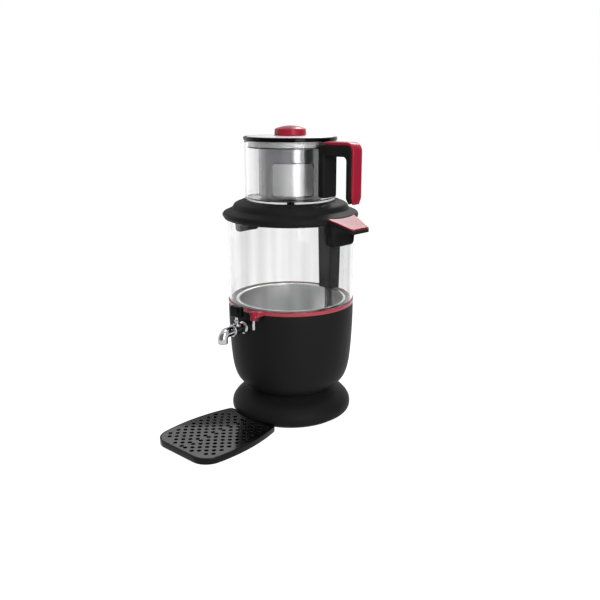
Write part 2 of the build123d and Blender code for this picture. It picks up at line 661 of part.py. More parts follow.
def body_envelope(gap):
    """The solid that the body fills, grown by a gap."""
    points = inset(curve_between(BODY_CURVE, NECK_R, BODY_R, FOOT_TOP, BODY_TOP), -gap)
    outer = [(r, 0, z) for r, z in points]
    low, high = (0, 0, outer[0][2]), (0, 0, outer[-1][2])
    edges = [Spline(*outer), Line(outer[-1], high), Line(high, low), Line(low, outer[0])]
    return revolve(make_face(Wire(edges)), Axis.Z)


def make_cord_gland():
    """The sleeve that a supply cord would leave by, low at the back."""
    wall = BODY_R * GLAND_WALL_SHARE
    flange = rod_along_y(GLAND_FLANGE_R, wall - 6, wall + 4, 0, GLAND_HEIGHT) - body_envelope(FIXED_GAP)
    gland = flange + rod_along_y(GLAND_R, wall - 10, wall + 4, 0, GLAND_HEIGHT)
    return gland - rod_along_y(GLAND_BORE_R, wall - 11, wall + 5, 0, GLAND_HEIGHT)


# Tank lid

def lid_outline(gap=0.0):
    """The lid's outer outline from its skirt, over the lip and the dome, to the teapot's seat."""
    crease = (LID_R - LIP_WIDTH, LID_BOTTOM + LIP_HEIGHT)
    shoulder = (LID_R - LIP_WIDTH - 3.6, SEAT_HEIGHT - 4.4)
    return [(LID_R - 2.2 + gap, LID_BOTTOM - gap, 1.2), (LID_R + gap, LID_BOTTOM + 3.4, 2.0),
            (LID_R + gap, LID_BOTTOM + 8.2, 3.2), (crease[0] + gap, crease[1] + gap, 2.0),
            (shoulder[0] + gap, shoulder[1] + gap, 7.0), (SEAT_R + 1.0 + gap, SEAT_HEIGHT + gap, 0.6)]


def lid_envelope(gap):
    """The solid that the lid fills, grown by a gap, for cutting what fits against it."""
    return spun((0, LID_BOTTOM - gap, 0), *lid_outline(gap), (0, SEAT_HEIGHT + gap, 0))


def make_lid_shell():
    skirt_in = TANK_R + LIFT_GAP
    wall = LID_WALL
    under_crease = LID_BOTTOM + LIP_HEIGHT - wall
    under_seat = SEAT_FLOOR - SEAT_THICKNESS
    ledge_top = TANK_SEAL_TOP + LEDGE_THICKNESS
    shell = spun((skirt_in, LID_BOTTOM, 0.6), *lid_outline(), (SEAT_R, SEAT_HEIGHT, 0), (SEAT_R, SEAT_FLOOR, 0),
                 (SEAT_BORE_R, SEAT_FLOOR, 0), (SEAT_BORE_R, under_seat, 0), (SEAT_R - 1, under_seat, 1),
                 (LID_R - LIP_WIDTH - 6.2, SEAT_HEIGHT - 7.4, 4), (LID_R - LIP_WIDTH - 2, under_crease, 0.6),
                 (skirt_in - 2, ledge_top, 0), (UNDERPLATE_R - 4, ledge_top, 0),
                 (UNDERPLATE_R - 4, TANK_SEAL_TOP, 0), (skirt_in, TANK_SEAL_TOP, 0))
    for index in range(DRAIN_NOTCHES):
        notch = block((SEAT_R - 0.5, -1.3, SEAT_FLOOR), (SEAT_R + 2.6, 1.3, SEAT_HEIGHT + 1))
        shell -= Rot(0, 0, 15 + index * 360 / DRAIN_NOTCHES) * notch
    for sign in (-1, 1):
        shell -= tongue_box(sign, FIXED_GAP)
    return shell


def tongue_box(sign, gap=0.0):
    """A grip's tongue, which clips through the lid's wall over the gasket."""
    low = TANK_SEAL_TOP + FIXED_GAP
    inner, outer = sorted((sign * (TANK_BORE_R - 1 - gap), sign * (LID_R + TONGUE_ROOT)))
    return block((inner, -TONGUE_HALF_WIDTH - gap, low - gap),
                 (outer, TONGUE_HALF_WIDTH + gap, low + TONGUE_THICKNESS + gap))


def make_lid_gasket():
    """A silicone ring on the tank's edge, with a skirt inside the glass."""
    inner = UNDERPLATE_R + FIXED_GAP
    skirt = TANK_BORE_R - LIFT_GAP
    return spun((inner, UNDERPLATE_LOW, 0), (skirt, UNDERPLATE_LOW, 0.3), (skirt, TANK_TOP, 0),
                (TANK_R, TANK_TOP, 0), (TANK_R, TANK_SEAL_TOP, 0), (inner, TANK_SEAL_TOP, 0))


def make_lid_underplate():
    plate = ring(UNDERPLATE_HOLE_R, UNDERPLATE_R, UNDERPLATE_LOW, UNDERPLATE_LOW + UNDERPLATE_THICKNESS)
    plate += ring(UNDERPLATE_R - 2.5, UNDERPLATE_R, UNDERPLATE_LOW, TANK_SEAL_TOP)
    return plate - RISER_ROTATION * rod(RISER_TUBE_R + FIXED_GAP, 0, TANK_TOP, 0, RISER_TUBE_Y)


def make_steam_plate():
    """The steel disc under the teapot, with steam holes round a nozzle."""
    top = SEAT_FLOOR - SEAT_THICKNESS
    plate = ring(0, SEAT_BORE_R + 5, top - STEAM_PLATE_THICKNESS, top)
    plate += ring(0, SEAT_BORE_R - FIXED_GAP, top - STEAM_PLATE_THICKNESS / 2, SEAT_FLOOR)
    for x, y in around(STEAM_HOLES, STEAM_CIRCLE_R):
        plate -= rod(STEAM_HOLE_R, top - 5, SEAT_FLOOR + 1, x, y)
    return plate - rod(NOZZLE_R + FIXED_GAP, top - 5, SEAT_FLOOR + 1)


def make_brew_nozzle():
    """Hot water from the riser enters the teapot's valve here."""
    low = SEAT_FLOOR - NOZZLE_LENGTH
    nozzle = rod(NOZZLE_R, low, SEAT_FLOOR)
    plate_low = SEAT_FLOOR - SEAT_THICKNESS - STEAM_PLATE_THICKNESS
    nozzle += ring(0, NOZZLE_R + 2, plate_low - 2, plate_low)
    return nozzle - rod(2.5, low + 3, SEAT_FLOOR + 1)


def riser_bend():
    """The riser's centre line: up the column, then in to the nozzle under the teapot."""
    high = SEAT_FLOOR - NOZZLE_LENGTH + 4
    points = [(0, RISER_TUBE_Y, RISER_TUBE_BOTTOM), (0, RISER_TUBE_Y, high), (0, NOZZLE_R, high)]
    return points, FilletPolyline(*points, radius=3 * RISER_TUBE_R)


def make_riser_tube():
    points, path = riser_bend()
    tube = sweep(Plane(origin=points[0], z_dir=(0, 0, 1)) * Circle(RISER_TUBE_R), path=path)
    bore = sweep(Plane(origin=points[0], z_dir=(0, 0, 1)) * Circle(RISER_TUBE_R - 0.8), path=path)
    return RISER_ROTATION * (tube - bore)


def riser_loft(margin, low, high):
    sections = []
    for height, width in ((low, RISER_BOTTOM_WIDTH), (high, RISER_TOP_WIDTH)):
        depth = RISER_BACK_R + 5 - RISER_FRONT - margin
        centre = RISER_FRONT + margin + depth / 2
        sections.append(Pos(0, centre, height) * Rectangle(width - 2 * margin, depth))
    return loft(sections)


def make_riser_column():
    """The tapered cover of the riser, hanging in the tank against the glass."""
    outer = riser_loft(0, RISER_BOTTOM, UNDERPLATE_LOW) & rod(RISER_BACK_R, RISER_BOTTOM, UNDERPLATE_LOW)
    upright = outer.edges().filter_by(lambda edge: abs((edge % 0.5).Z) > 0.9)
    outer = fillet([edge for edge in upright if (edge @ 0.5).Y < RISER_TUBE_Y], 2.0)
    back = RISER_BACK_R - RISER_WALL
    cavity = riser_loft(RISER_WALL, RISER_BOTTOM - 1, UNDERPLATE_LOW - RISER_WALL)
    cavity &= rod(back, RISER_BOTTOM - 1, UNDERPLATE_LOW - RISER_WALL)
    column = outer - cavity
    return RISER_ROTATION * (column - rod(RISER_TUBE_R + FIXED_GAP, 0, TANK_TOP, 0, RISER_TUBE_Y))


# Grips on the tank lid

def beak_outline(margin=0.0):
    """The beak seen from above, from the lid out to its narrow edge."""
    near = TANK_BORE_R - 6
    half_near = GRIP_HALF_WIDTH + 1 - margin
    half_far = BEAK_HALF_WIDTH - margin
    reach = BEAK_REACH - margin
    return [(near, -half_near), (LID_R - 2, -half_near), (reach, -half_far), (reach, half_far),
            (LID_R - 2, half_near), (near, half_near)]


def beak_layer(drop, thickness, margin=0.0):
    """A slanting slab of the beak's plan shape, a drop below its top face."""
    slope = BEAK_DROP / (BEAK_REACH - TANK_R)
    start = TANK_BORE_R - 8
    end = BEAK_REACH + 2
    top_start = BEAK_TOP - drop - slope * (start - TANK_R)
    top_end = BEAK_TOP - drop - slope * (end - TANK_R)
    side = [(start, top_start), (end, top_end), (end, top_end - thickness), (start, top_start - thickness)]
    slab = prism(Plane.XZ, side, GRIP_HALF_WIDTH + 10, both=True)
    corners = [0.0, 0.0, 5.0, 5.0, 0.0, 0.0]
    plan = FilletPolyline(*beak_outline(margin), radius=corners, close=True)
    return slab & extrude(Plane.XY.offset(GRIP_BOTTOM) * make_face(plan), 60)


def grip_block():
    half = GRIP_HALF_WIDTH - 1.5
    low_half = half - 4
    outline = [(-low_half, GRIP_BOTTOM), (low_half, GRIP_BOTTOM), (half, BEAK_TOP - 8), (half, BEAK_TOP - 5),
               (-half, BEAK_TOP - 5), (-half, BEAK_TOP - 8)]
    face = FilletPolyline(*outline, radius=[6.0, 6.0, 0, 0, 0, 0], close=True)
    solid = extrude(Plane.YZ.offset(TANK_R - 14) * make_face(face), GRIP_BLOCK_OUT - TANK_R + 14)
    outer_edges = solid.edges().group_by(Axis.X)[-1]
    solid = fillet([edge for edge in outer_edges if (edge @ 0.5).Z < BEAK_TOP - 4.5], 1.6)
    hollow_x = GRIP_BLOCK_OUT + POCKET_R - POCKET_DEPTH
    hollow = rod_along_y(POCKET_R, -half + 6, half - 6, hollow_x, POCKET_HEIGHT)
    return solid - hollow


def make_grip(sign):
    grip = grip_block() + beak_layer(GRIP_COVER_THICKNESS, BEAK_THICKNESS)
    grip -= rod(TANK_R + 2 * LIFT_GAP, GRIP_BOTTOM - 5, LID_BOTTOM + 0.5)
    grip -= lid_envelope(FIXED_GAP)
    grip += tongue_box(1)
    return grip if sign > 0 else Rot(0, 0, 180) * grip


def make_grip_cover(sign):
    cover = beak_layer(0, GRIP_COVER_THICKNESS, GRIP_COVER_MARGIN)
    cover -= rod(LID_R + FIXED_GAP, GRIP_BOTTOM, SEAT_HEIGHT)
    return cover if sign > 0 else Rot(0, 0, 180) * cover


# Teapot

def make_jug_glass():
    jug = spun((0, JUG_BOTTOM, 0), (JUG_R, JUG_BOTTOM, JUG_CORNER_R), (JUG_R, JUG_TOP, 0.9),
               (JUG_BORE_R, JUG_TOP, 0.9), (JUG_BORE_R, JUG_FLOOR_TOP, JUG_CORNER_R - 1),
               (0, JUG_FLOOR_TOP, 0))
    return jug - rod(VALVE_R - 2, JUG_BOTTOM - 1, JUG_FLOOR_TOP + 1)


def make_jug_valve():
    """A silicone flap valve in the teapot's floor."""
    stem = VALVE_R - 2 - FIXED_GAP
    valve = ring(0, stem, JUG_BOTTOM, JUG_FLOOR_TOP + 0.5)
    valve += ring(0, VALVE_R, JUG_FLOOR_TOP, JUG_FLOOR_TOP + 1.4, 0.3)
    return valve - rod(2.0, JUG_BOTTOM - 1, JUG_FLOOR_TOP + 0.8)


def handle_plan(reach, mount):
    """The handle seen from above, wide at the jug and narrow at the grip."""
    grip = HANDLE_GRIP_HALF
    low, high = HANDLE_GRIP_BOTTOM - 5, HANDLE_TOP + 5
    outline = [(0, -mount), (JUG_R + HANDLE_MOUNT_THICKNESS + 2, -mount), (reach - GRIP_DEPTH - 4, -grip),
               (reach, -grip), (reach, grip), (reach - GRIP_DEPTH - 4, grip),
               (JUG_R + HANDLE_MOUNT_THICKNESS + 2, mount), (0, mount)]
    face = FilletPolyline(*outline, radius=[0, 6, 10, 2.2, 2.2, 10, 6, 0], close=True)
    return extrude(Plane.XY.offset(low) * make_face(face), high - low)


def make_handle_frame():
    """The mount against the jug, the bar across and the inner half of the grip."""
    reach = HANDLE_REACH - HANDLE_COVER
    top = HANDLE_TOP - HANDLE_COVER
    inner = HANDLE_REACH - GRIP_DEPTH
    mount_out = JUG_R + HANDLE_MOUNT_THICKNESS
    start = JUG_R - 8
    low, bar = HANDLE_MOUNT_BOTTOM, HANDLE_BAR_BOTTOM
    outline = [(start, low), (mount_out, low), (mount_out, bar), (inner, bar), (inner, HANDLE_GRIP_BOTTOM),
               (reach, HANDLE_GRIP_BOTTOM), (reach, top), (start, top)]
    corners = [0, 3, 1.5, FINGER_CORNER_R, 2.5, 0, HANDLE_CORNER_R - HANDLE_COVER, 0]
    face = FilletPolyline(*outline, radius=corners, close=True)
    frame = extrude(Plane.XZ * make_face(face), 30, both=True)
    frame &= handle_plan(reach, HANDLE_MOUNT_HALF)
    frame -= rod(JUG_R + HANDLE_PAD + FIXED_GAP, HANDLE_GRIP_BOTTOM - 5, HANDLE_TOP + 5)
    for z in HANDLE_SCREW_HEIGHTS:
        frame -= rod_along_x(SCREW_R + FIXED_GAP, inner - 1, reach + 1, 0, z)
        frame -= rod_along_x(HEAD_HOLE_R, inner - 1, inner + 2.5, 0, z)
    return frame


def make_handle_cover():
    """The coloured skin over the bar and down the outside of the grip."""
    inner_top = HANDLE_TOP - HANDLE_COVER
    inner_out = HANDLE_REACH - HANDLE_COVER
    start = POT_LID_R + 3
    outline = [(start, inner_top), (inner_out, inner_top), (inner_out, HANDLE_GRIP_BOTTOM - 0.8),
               (HANDLE_REACH, HANDLE_GRIP_BOTTOM - 0.8), (HANDLE_REACH, HANDLE_TOP), (start, HANDLE_TOP)]
    corners = [0, HANDLE_CORNER_R - HANDLE_COVER, 0, 3, HANDLE_CORNER_R, 2.5]
    face = FilletPolyline(*outline, radius=corners, close=True)
    cover = extrude(Plane.XZ * make_face(face), 30, both=True)
    cover &= handle_plan(HANDLE_REACH, HANDLE_MOUNT_HALF - 1)
    for z in HANDLE_SCREW_HEIGHTS:
        cover -= rod_along_x(SCREW_R + FIXED_GAP, inner_out - 1, inner_out + 2.2, 0, z)
    return cover


def make_handle_screws():
    inner = HANDLE_REACH - GRIP_DEPTH
    group = []
    for z in HANDLE_SCREW_HEIGHTS:
        head = rod_along_x(SCREW_HEAD_R, inner + 1.0, inner + 2.5, 0, z)
        group.append(head + rod_along_x(SCREW_R, inner + 2, HANDLE_REACH - HANDLE_COVER + 2, 0, z))
    return Compound(children=group)


def make_handle_pad():
    """The bonded strip between the jug and the handle's mount."""
    pad = ring(JUG_R + FIXED_GAP, JUG_R + HANDLE_PAD, HANDLE_MOUNT_BOTTOM + 2, HANDLE_TOP - HANDLE_COVER - 3)
    half = HANDLE_MOUNT_HALF - 1.5
    return pad & block((0, -half, HANDLE_MOUNT_BOTTOM), (JUG_R + 10, half, HANDLE_TOP))


# Infuser

def make_infuser_rim():
    """The wide sheet ring that hangs on the jug's edge, stepped in to the cup."""
    sheet = INFUSER_SHEET
    outer = INFUSER_RIM_R
    low = INFUSER_RIM_BOTTOM
    return spun((INFUSER_R - sheet, low, 0), (outer, low, 2.0), (outer, JUG_TOP, 0),
                (JUG_R - sheet, JUG_TOP, 0), (JUG_R - sheet, FLANGE_TOP, 0), (outer - sheet, FLANGE_TOP, 0.6),
                (outer - sheet, low + sheet, 1.3), (INFUSER_R - sheet, low + sheet, 0))


def window_cutter(turn, grow=0.0):
    """A sector with round corners, cut square through the cup's wall."""
    half_angle = radians(WINDOW_ANGLE / 2)
    half_chord = INFUSER_R * sin(half_angle) + grow
    outline = Rectangle(2 * half_chord, WINDOW_TOP - WINDOW_BOTTOM + 2 * grow)
    face = fillet(outline.vertices(), WINDOW_CORNER_R)
    middle = (WINDOW_TOP + WINDOW_BOTTOM) / 2
    plane = Plane(origin=(INFUSER_R * cos(half_angle) - 4, 0, middle), x_dir=(0, 1, 0), z_dir=(1, 0, 0))
    cutter = extrude(plane * face, 30)
    return Rot(0, 0, turn) * cutter


def make_infuser_cup():
    cup = ring(INFUSER_R - INFUSER_SHEET, INFUSER_R, INFUSER_BOTTOM, INFUSER_RIM_BOTTOM)
    for turn in WINDOW_TURNS:
        cup -= window_cutter(turn)
    return cup


def make_infuser_screens():
    """Three fine screens that line the windows from inside."""
    outer = INFUSER_R - INFUSER_SHEET - FIXED_GAP
    wall = ring(outer - SCREEN_THICKNESS, outer, INFUSER_BOTTOM + 1.5, INFUSER_RIM_BOTTOM - 1)
    return Compound(children=[wall & window_cutter(turn, 1.5) for turn in WINDOW_TURNS])


def make_infuser_base():
    radius = INFUSER_R - INFUSER_SHEET - FIXED_GAP
    base = ring(0, radius, INFUSER_BOTTOM, INFUSER_BOTTOM + INFUSER_SHEET)
    count = int(radius // SIEVE_PITCH)
    for row in range(-count, count + 1):
        for column in range(-count, count + 1):
            x, y = column * SIEVE_PITCH, row * SIEVE_PITCH
            if hypot(x, y) < radius - 2 * SIEVE_HOLE_R:
                base -= rod(SIEVE_HOLE_R, INFUSER_BOTTOM - 1, INFUSER_BOTTOM + 2, x, y)
    return base


# Teapot's lid

def make_pot_lid_rim():
    """The black rim that sits on the infuser's flange and carries the lid's plate."""
    band = POT_LID_R - POT_LID_BAND
    ledge = POT_LID_TOP - LID_PLATE_THICKNESS
    return spun((band, FLANGE_TOP, 0.3), (POT_LID_R, FLANGE_TOP, 0.6), (POT_LID_R, POT_LID_TOP - 0.6, 1.2),
                (POT_LID_R - 1.8, POT_LID_TOP, 0.8), (LID_PLATE_R, POT_LID_TOP, 0.2), (LID_PLATE_R, ledge, 0),
                (band, ledge, 0.3))


def make_pot_lid_plate():
    """The gently domed plate of the lid."""
    edge = LID_PLATE_R - FIXED_GAP
    low = POT_LID_TOP - LID_PLATE_THICKNESS
    dome = ThreePointArc((edge, 0, POT_LID_TOP), (edge * 0.52, 0, POT_LID_TOP + LID_PLATE_DOME * 0.73),
                         (0, 0, POT_LID_TOP + LID_PLATE_DOME))
    under = ThreePointArc((0, 0, low + LID_PLATE_DOME), (edge * 0.5, 0, low + LID_PLATE_DOME * 0.72),
                          (edge - 6, 0, low))
    axis_line = Line((0, 0, POT_LID_TOP + LID_PLATE_DOME), (0, 0, low + LID_PLATE_DOME))
    foot = Line((edge - 6, 0, low), (edge, 0, low))
    side = Line((edge, 0, low), (edge, 0, POT_LID_TOP))
    outline = Wire([line.edge() for line in (dome, axis_line, under, foot, side)])
    plate = revolve(make_face(outline), Axis.Z)
    return plate - rod(KNOB_SCREW_R + FIXED_GAP, low - 1, KNOB_LOW + 5)


def make_pot_lid_seal():
    outer = INFUSER_RIM_R - INFUSER_SHEET - LIFT_GAP
    return ring(outer - 2.4, outer, FLANGE_TOP - LID_SEAL_DEPTH, FLANGE_TOP, 0.3)


def make_pot_lid_knob():
    """A plain knob: a slight taper up to its shoulder and a shallow dome over it."""
    shoulder = KNOB_LOW + KNOB_SHOULDER
    top = (0, 0, KNOB_LOW + KNOB_HEIGHT)
    edge = (KNOB_R - KNOB_TAPER, 0, shoulder)
    bulge = (edge[0] * 0.55, 0, shoulder + (KNOB_HEIGHT - KNOB_SHOULDER) * 0.7)
    corners = [(0, 0, KNOB_LOW), (KNOB_R, 0, KNOB_LOW), edge]
    outline = Wire([Line(*corners[:2]).edge(), Line(*corners[1:]).edge(),
                    ThreePointArc(edge, bulge, top).edge(), Line(top, corners[0]).edge()])
    knob = revolve(make_face(outline), Axis.Z)
    knob = fillet(knob.edges().filter_by(GeomType.CIRCLE), KNOB_EDGE_R)
    return knob - rod(KNOB_SCREW_R + FIXED_GAP, KNOB_LOW - 1, KNOB_LOW + KNOB_SHOULDER)


def make_pot_lid_screw():
    under = POT_LID_TOP + LID_PLATE_DOME - LID_PLATE_THICKNESS
    return rod(4.0, under - 2, under) + rod(KNOB_SCREW_R, under - 0.5, KNOB_LOW + KNOB_SHOULDER - 0.2)


# Drip tray

def tray_outline(margin):
    """The tray's outline drawn in by a margin: bowed sides, round corners and a scoop round the foot."""
    front, back = TRAY_FRONT + margin, TRAY_BACK - margin
    offset = TRAY_SIDE_R - TRAY_HALF_WIDTH
    lens = [Pos(x, TRAY_WIDEST) * Circle(TRAY_SIDE_R - margin) for x in (-offset, offset)]
    outline = lens[0] & lens[1] & Pos(0, (front + back) / 2) * Rectangle(3 * TRAY_HALF_WIDTH, back - front)
    outline = fillet(outline.vertices().group_by(Axis.Y)[0], TRAY_CORNER_R - margin)
    outline = fillet(outline.vertices().group_by(Axis.Y)[-1], TRAY_BACK_CORNER_R - margin)
    return outline - Circle(FOOT_R + 2 * LIFT_GAP + margin)


def grid_outline(margin):
    """The tray's outline drawn in by a margin, but straight behind, where the rim widens round the scoop."""
    back = GRID_BACK + TRAY_WALL - margin
    outline = tray_outline(margin) & Pos(0, back - TRAY_LENGTH) * Rectangle(4 * TRAY_HALF_WIDTH, 2 * TRAY_LENGTH)
    return fillet(outline.vertices().group_by(Axis.Y)[-1], TRAY_BACK_CORNER_R - margin)


def make_tray_pan():
    """A shallow pan, scooped at the back to the foot's curve, with a tongue that hooks into the foot."""
    height = TRAY_TOP - PAD_THICKNESS
    pan = extrude(Plane.XY.offset(PAD_THICKNESS) * tray_outline(0), height)
    pan = fillet(pan.edges().group_by(Axis.Z)[0], 0.6)
    floor = PAD_THICKNESS + TRAY_FLOOR
    pan -= extrude(Plane.XY.offset(floor) * grid_outline(TRAY_WALL + 1.4), height)
    pan -= extrude(Plane.XY.offset(GRID_LOW) * grid_outline(TRAY_WALL), height)
    return pan + block((-TONGUE_HALF, -FOOT_R - 1.5, TONGUE_LOW),
                       (TONGUE_HALF, TONGUE_END, TONGUE_LOW + TONGUE_HEIGHT))


def grid_holes():
    """Places of the drain holes: a chequered pattern, the same on both sides of the middle."""
    places = []
    rows = int((TRAY_BACK - TRAY_FRONT) / GRID_STEP)
    columns = int(TRAY_HALF_WIDTH / GRID_STEP)
    for row in range(rows + 1):
        y = TRAY_FRONT + GRID_MARGIN + row * GRID_STEP
        for column in range(columns):
            x = (column + 0.5) * GRID_STEP
            if (row + column) % 2 == 0 and grid_clear(x, y):
                places += [(x, y), (-x, y)]
    return places


def grid_clear(x, y):
    """Whether a hole at this place keeps its margin from the tray's edge."""
    offset = TRAY_SIDE_R - TRAY_HALF_WIDTH
    corner_y = TRAY_FRONT + TRAY_CORNER_R
    corner_x = sqrt((TRAY_SIDE_R - TRAY_CORNER_R) ** 2 - (corner_y - TRAY_WIDEST) ** 2) - offset
    inside = hypot(x + offset, y - TRAY_WIDEST) < TRAY_SIDE_R - GRID_MARGIN
    past_corner = x > corner_x and y < corner_y
    in_corner = past_corner and hypot(x - corner_x, y - corner_y) > TRAY_CORNER_R - GRID_MARGIN
    return inside and not in_corner and y < GRID_BACK + TRAY_WALL - GRID_MARGIN


def make_tray_grid():
    grid = extrude(Plane.XY.offset(GRID_LOW) * grid_outline(TRAY_WALL + LIFT_GAP), GRID_THICKNESS)
    return grid - [rod(GRID_HOLE_R, GRID_LOW - 1, TRAY_TOP + 1, x, y) for x, y in grid_holes()]


def make_tray_pads():
    x = TRAY_HALF_WIDTH - PAD_INSET
    places = [(sign * x, y) for sign in (-1, 1) for y in (TRAY_FRONT + PAD_INSET, TRAY_BACK - PAD_INSET)]
    return Compound(children=[rod(PAD_R, 0, PAD_THICKNESS, x, y) for x, y in places])


NODES = {
    "foot_shell": make_foot_shell,
    "foot_ring": make_foot_ring,
    "bottom_cover": make_bottom_cover,
    "cover_screws": make_cover_screws,
    "neck_screws": make_neck_screws,
    "body_shell": make_body_shell,
    "trim_ring": make_trim_ring,
    "tank_seal": make_tank_seal,
    "boiler_bowl": make_boiler_bowl,
    "tank_glass": make_tank_glass,
    "heater_plate": make_heater_plate,
    "heater_element": make_heater_element,
    "thermostat": make_thermostat,
    "thermal_fuse": make_thermal_fuse,
    "tap_body": make_tap_body,
    "tap_stem": make_tap_stem,
    "tap_knob": make_tap_knob,
    "tap_washer": make_tap_washer,
    "tap_inner_washer": make_tap_inner_washer,
    "tap_nut": make_tap_nut,
    "toggle_housing": make_toggle_housing,
    "toggle_rod": make_toggle_rod,
    "toggle_pin": make_toggle_pin,
    "toggle_bracket": make_toggle_bracket,
    "microswitch": make_microswitch,
    "cord_gland": make_cord_gland,
    "lid_shell": make_lid_shell,
    "lid_gasket": make_lid_gasket,
    "lid_underplate": make_lid_underplate,
    "steam_plate": make_steam_plate,
    "brew_nozzle": make_brew_nozzle,
    "riser_tube": make_riser_tube,
    "riser_column": make_riser_column,
    "right_grip": lambda: make_grip(1),
    "left_grip": lambda: make_grip(-1),
    "right_grip_cover": lambda: make_grip_cover(1),
    "left_grip_cover": lambda: make_grip_cover(-1),
    "jug_glass": make_jug_glass,
    "jug_valve": make_jug_valve,
    "handle_frame": make_handle_frame,
    "handle_cover": make_handle_cover,
    "handle_screws": make_handle_screws,
    "handle_pad": make_handle_pad,
    "infuser_rim": make_infuser_rim,
    "infuser_cup": make_infuser_cup,
    "infuser_screens": make_infuser_screens,
    "infuser_base": make_infuser_base,
    "pot_lid_rim": make_pot_lid_rim,
    "pot_lid_plate": make_pot_lid_plate,
    "pot_lid_seal": make_pot_lid_seal,
    "pot_lid_knob": make_pot_lid_knob,
    "pot_lid_screw": make_pot_lid_screw,
    "tray_pan": make_tray_pan,
    "tray_grid": make_tray_grid,
    "tray_pads": make_tray_pads,
}

for name, make in NODES.items():
    export_step(make(), f"parts/{name}.step")
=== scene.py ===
import bmesh
import bpy
import numpy as np
from math import cos, pi, radians, sin
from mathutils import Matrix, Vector


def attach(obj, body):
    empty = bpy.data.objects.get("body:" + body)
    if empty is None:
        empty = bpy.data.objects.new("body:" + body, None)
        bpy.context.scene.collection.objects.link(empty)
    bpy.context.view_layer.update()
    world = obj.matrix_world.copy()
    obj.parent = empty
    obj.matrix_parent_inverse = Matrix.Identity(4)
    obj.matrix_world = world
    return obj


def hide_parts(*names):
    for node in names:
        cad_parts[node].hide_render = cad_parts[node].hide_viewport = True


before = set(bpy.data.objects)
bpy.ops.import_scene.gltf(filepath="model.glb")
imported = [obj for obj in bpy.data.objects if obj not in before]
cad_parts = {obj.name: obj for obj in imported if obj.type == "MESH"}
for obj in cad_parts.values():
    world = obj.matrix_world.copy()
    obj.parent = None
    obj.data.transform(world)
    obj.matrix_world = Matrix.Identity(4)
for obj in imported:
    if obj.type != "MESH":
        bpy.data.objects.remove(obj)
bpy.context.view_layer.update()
print("frame loaded:", len(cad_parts), "nodes")

mm = 0.001

# Outlines


def roundedPath(corners, closed=True, steps=6):
    # Straight runs joined by arcs. A corner is (x, y, radius), and its arc touches both of its runs.
    points = np.array([corner[:2] for corner in corners], float)
    rows = []
    for index, corner in enumerate(corners):
        here = points[index]
        if corner[2] <= 0 or (not closed and index in (0, len(corners) - 1)):
            rows.append(here[None])
            continue
        back = points[index - 1] - here
        ahead = points[(index + 1) % len(corners)] - here
        back = back / np.linalg.norm(back)
        ahead = ahead / np.linalg.norm(ahead)
        half = 0.5 * np.arccos(np.clip(back @ ahead, -1, 1))
        middle = here + (back + ahead) / np.linalg.norm(back + ahead) * corner[2] / np.sin(half)
        start = here + back * corner[2] / np.tan(half) - middle
        end = here + ahead * corner[2] / np.tan(half) - middle
        first = np.arctan2(start[1], start[0])
        turn = (np.arctan2(end[1], end[0]) - first + pi) % (2 * pi) - pi
        angles = first + turn * np.linspace(0, 1, steps)
        rows.append(middle + corner[2] * np.stack([np.cos(angles), np.sin(angles)], axis=1))
    return np.vstack(rows)


def arc(centre, radius, start, end, count):
    # point(turn) = centre + radius (cos turn, sin turn)
    turn = np.linspace(start, end, count)
    return np.array(centre) + radius * np.column_stack([np.cos(turn), np.sin(turn)])


def roundedEdge(level, radius, steps):
    # (height, inset) along a quarter round that ends at a level, for a bottom edge with a negative radius
    turn = np.linspace(0, pi / 2, steps)
    return np.column_stack([level - radius * (1 - np.sin(turn)), abs(radius) * (1 - np.cos(turn))])


def smoothThrough(points, count):
    # A natural cubic spline through the points, its parameter the length of the chords.
    points = np.array(points, float)
    chords = np.linalg.norm(np.diff(points, axis=0), axis=1)
    knots = np.concatenate([[0], np.cumsum(chords)])
    size = len(points)
    system = np.eye(size)
    right = np.zeros((size, 2))
    inner = np.arange(1, size - 1)
    system[inner, inner - 1] = chords[:-1]
    system[inner, inner] = 2 * (chords[:-1] + chords[1:])
    system[inner, inner + 1] = chords[1:]
    slopes = np.diff(points, axis=0) / chords[:, None]
    right[inner] = 6 * np.diff(slopes, axis=0)
    bends = np.linalg.solve(system, right)
    at = np.linspace(0, knots[-1], count)
    span = np.clip(np.searchsorted(knots, at, side="right") - 1, 0, size - 2)
    run = chords[span][:, None]
    left = (knots[span + 1] - at)[:, None]
    gone = (at - knots[span])[:, None]
    curve = (bends[span] * left ** 3 + bends[span + 1] * gone ** 3) / (6 * run)
    curve += (points[span] / run - bends[span] * run / 6) * left
    return curve + (points[span + 1] / run - bends[span + 1] * run / 6) * gone


def insetLine(points, wall):
    # Each point moves to the left of the line's direction by the wall.
    along = np.gradient(points, axis=0)
    along /= np.linalg.norm(along, axis=1)[:, None]
    return points + wall * np.stack([-along[:, 1], along[:, 0]], axis=1)


def evenly(points, count):
    # The same line cut into steps of equal length.
    length = np.concatenate([[0], np.cumsum(np.linalg.norm(np.diff(points, axis=0), axis=1))])
    at = np.linspace(0, length[-1], count)
    return np.stack([np.interp(at, length, points[:, axis]) for axis in range(points.shape[1])], axis=1)


def braced(outline, reach=0.3):
    # One more point at either end of each long straight run that meets the short steps of a rounded corner,
    # so that the corner's shading stays at the corner.
    ahead = np.roll(outline, -1, axis=0)
    length = np.linalg.norm(ahead - outline, axis=1)
    rows = []
    runs = zip(outline, ahead, length, np.roll(length, 1), np.roll(length, -1))
    for here, there, run, before, after in runs:
        step = (there - here) * reach / max(run, reach)
        rows.append(here)
        if run > 4 * max(reach, before):
            rows.append(here + step)
        if run > 4 * max(reach, after):
            rows.append(there - step)
    return np.array(rows)


# Surfaces


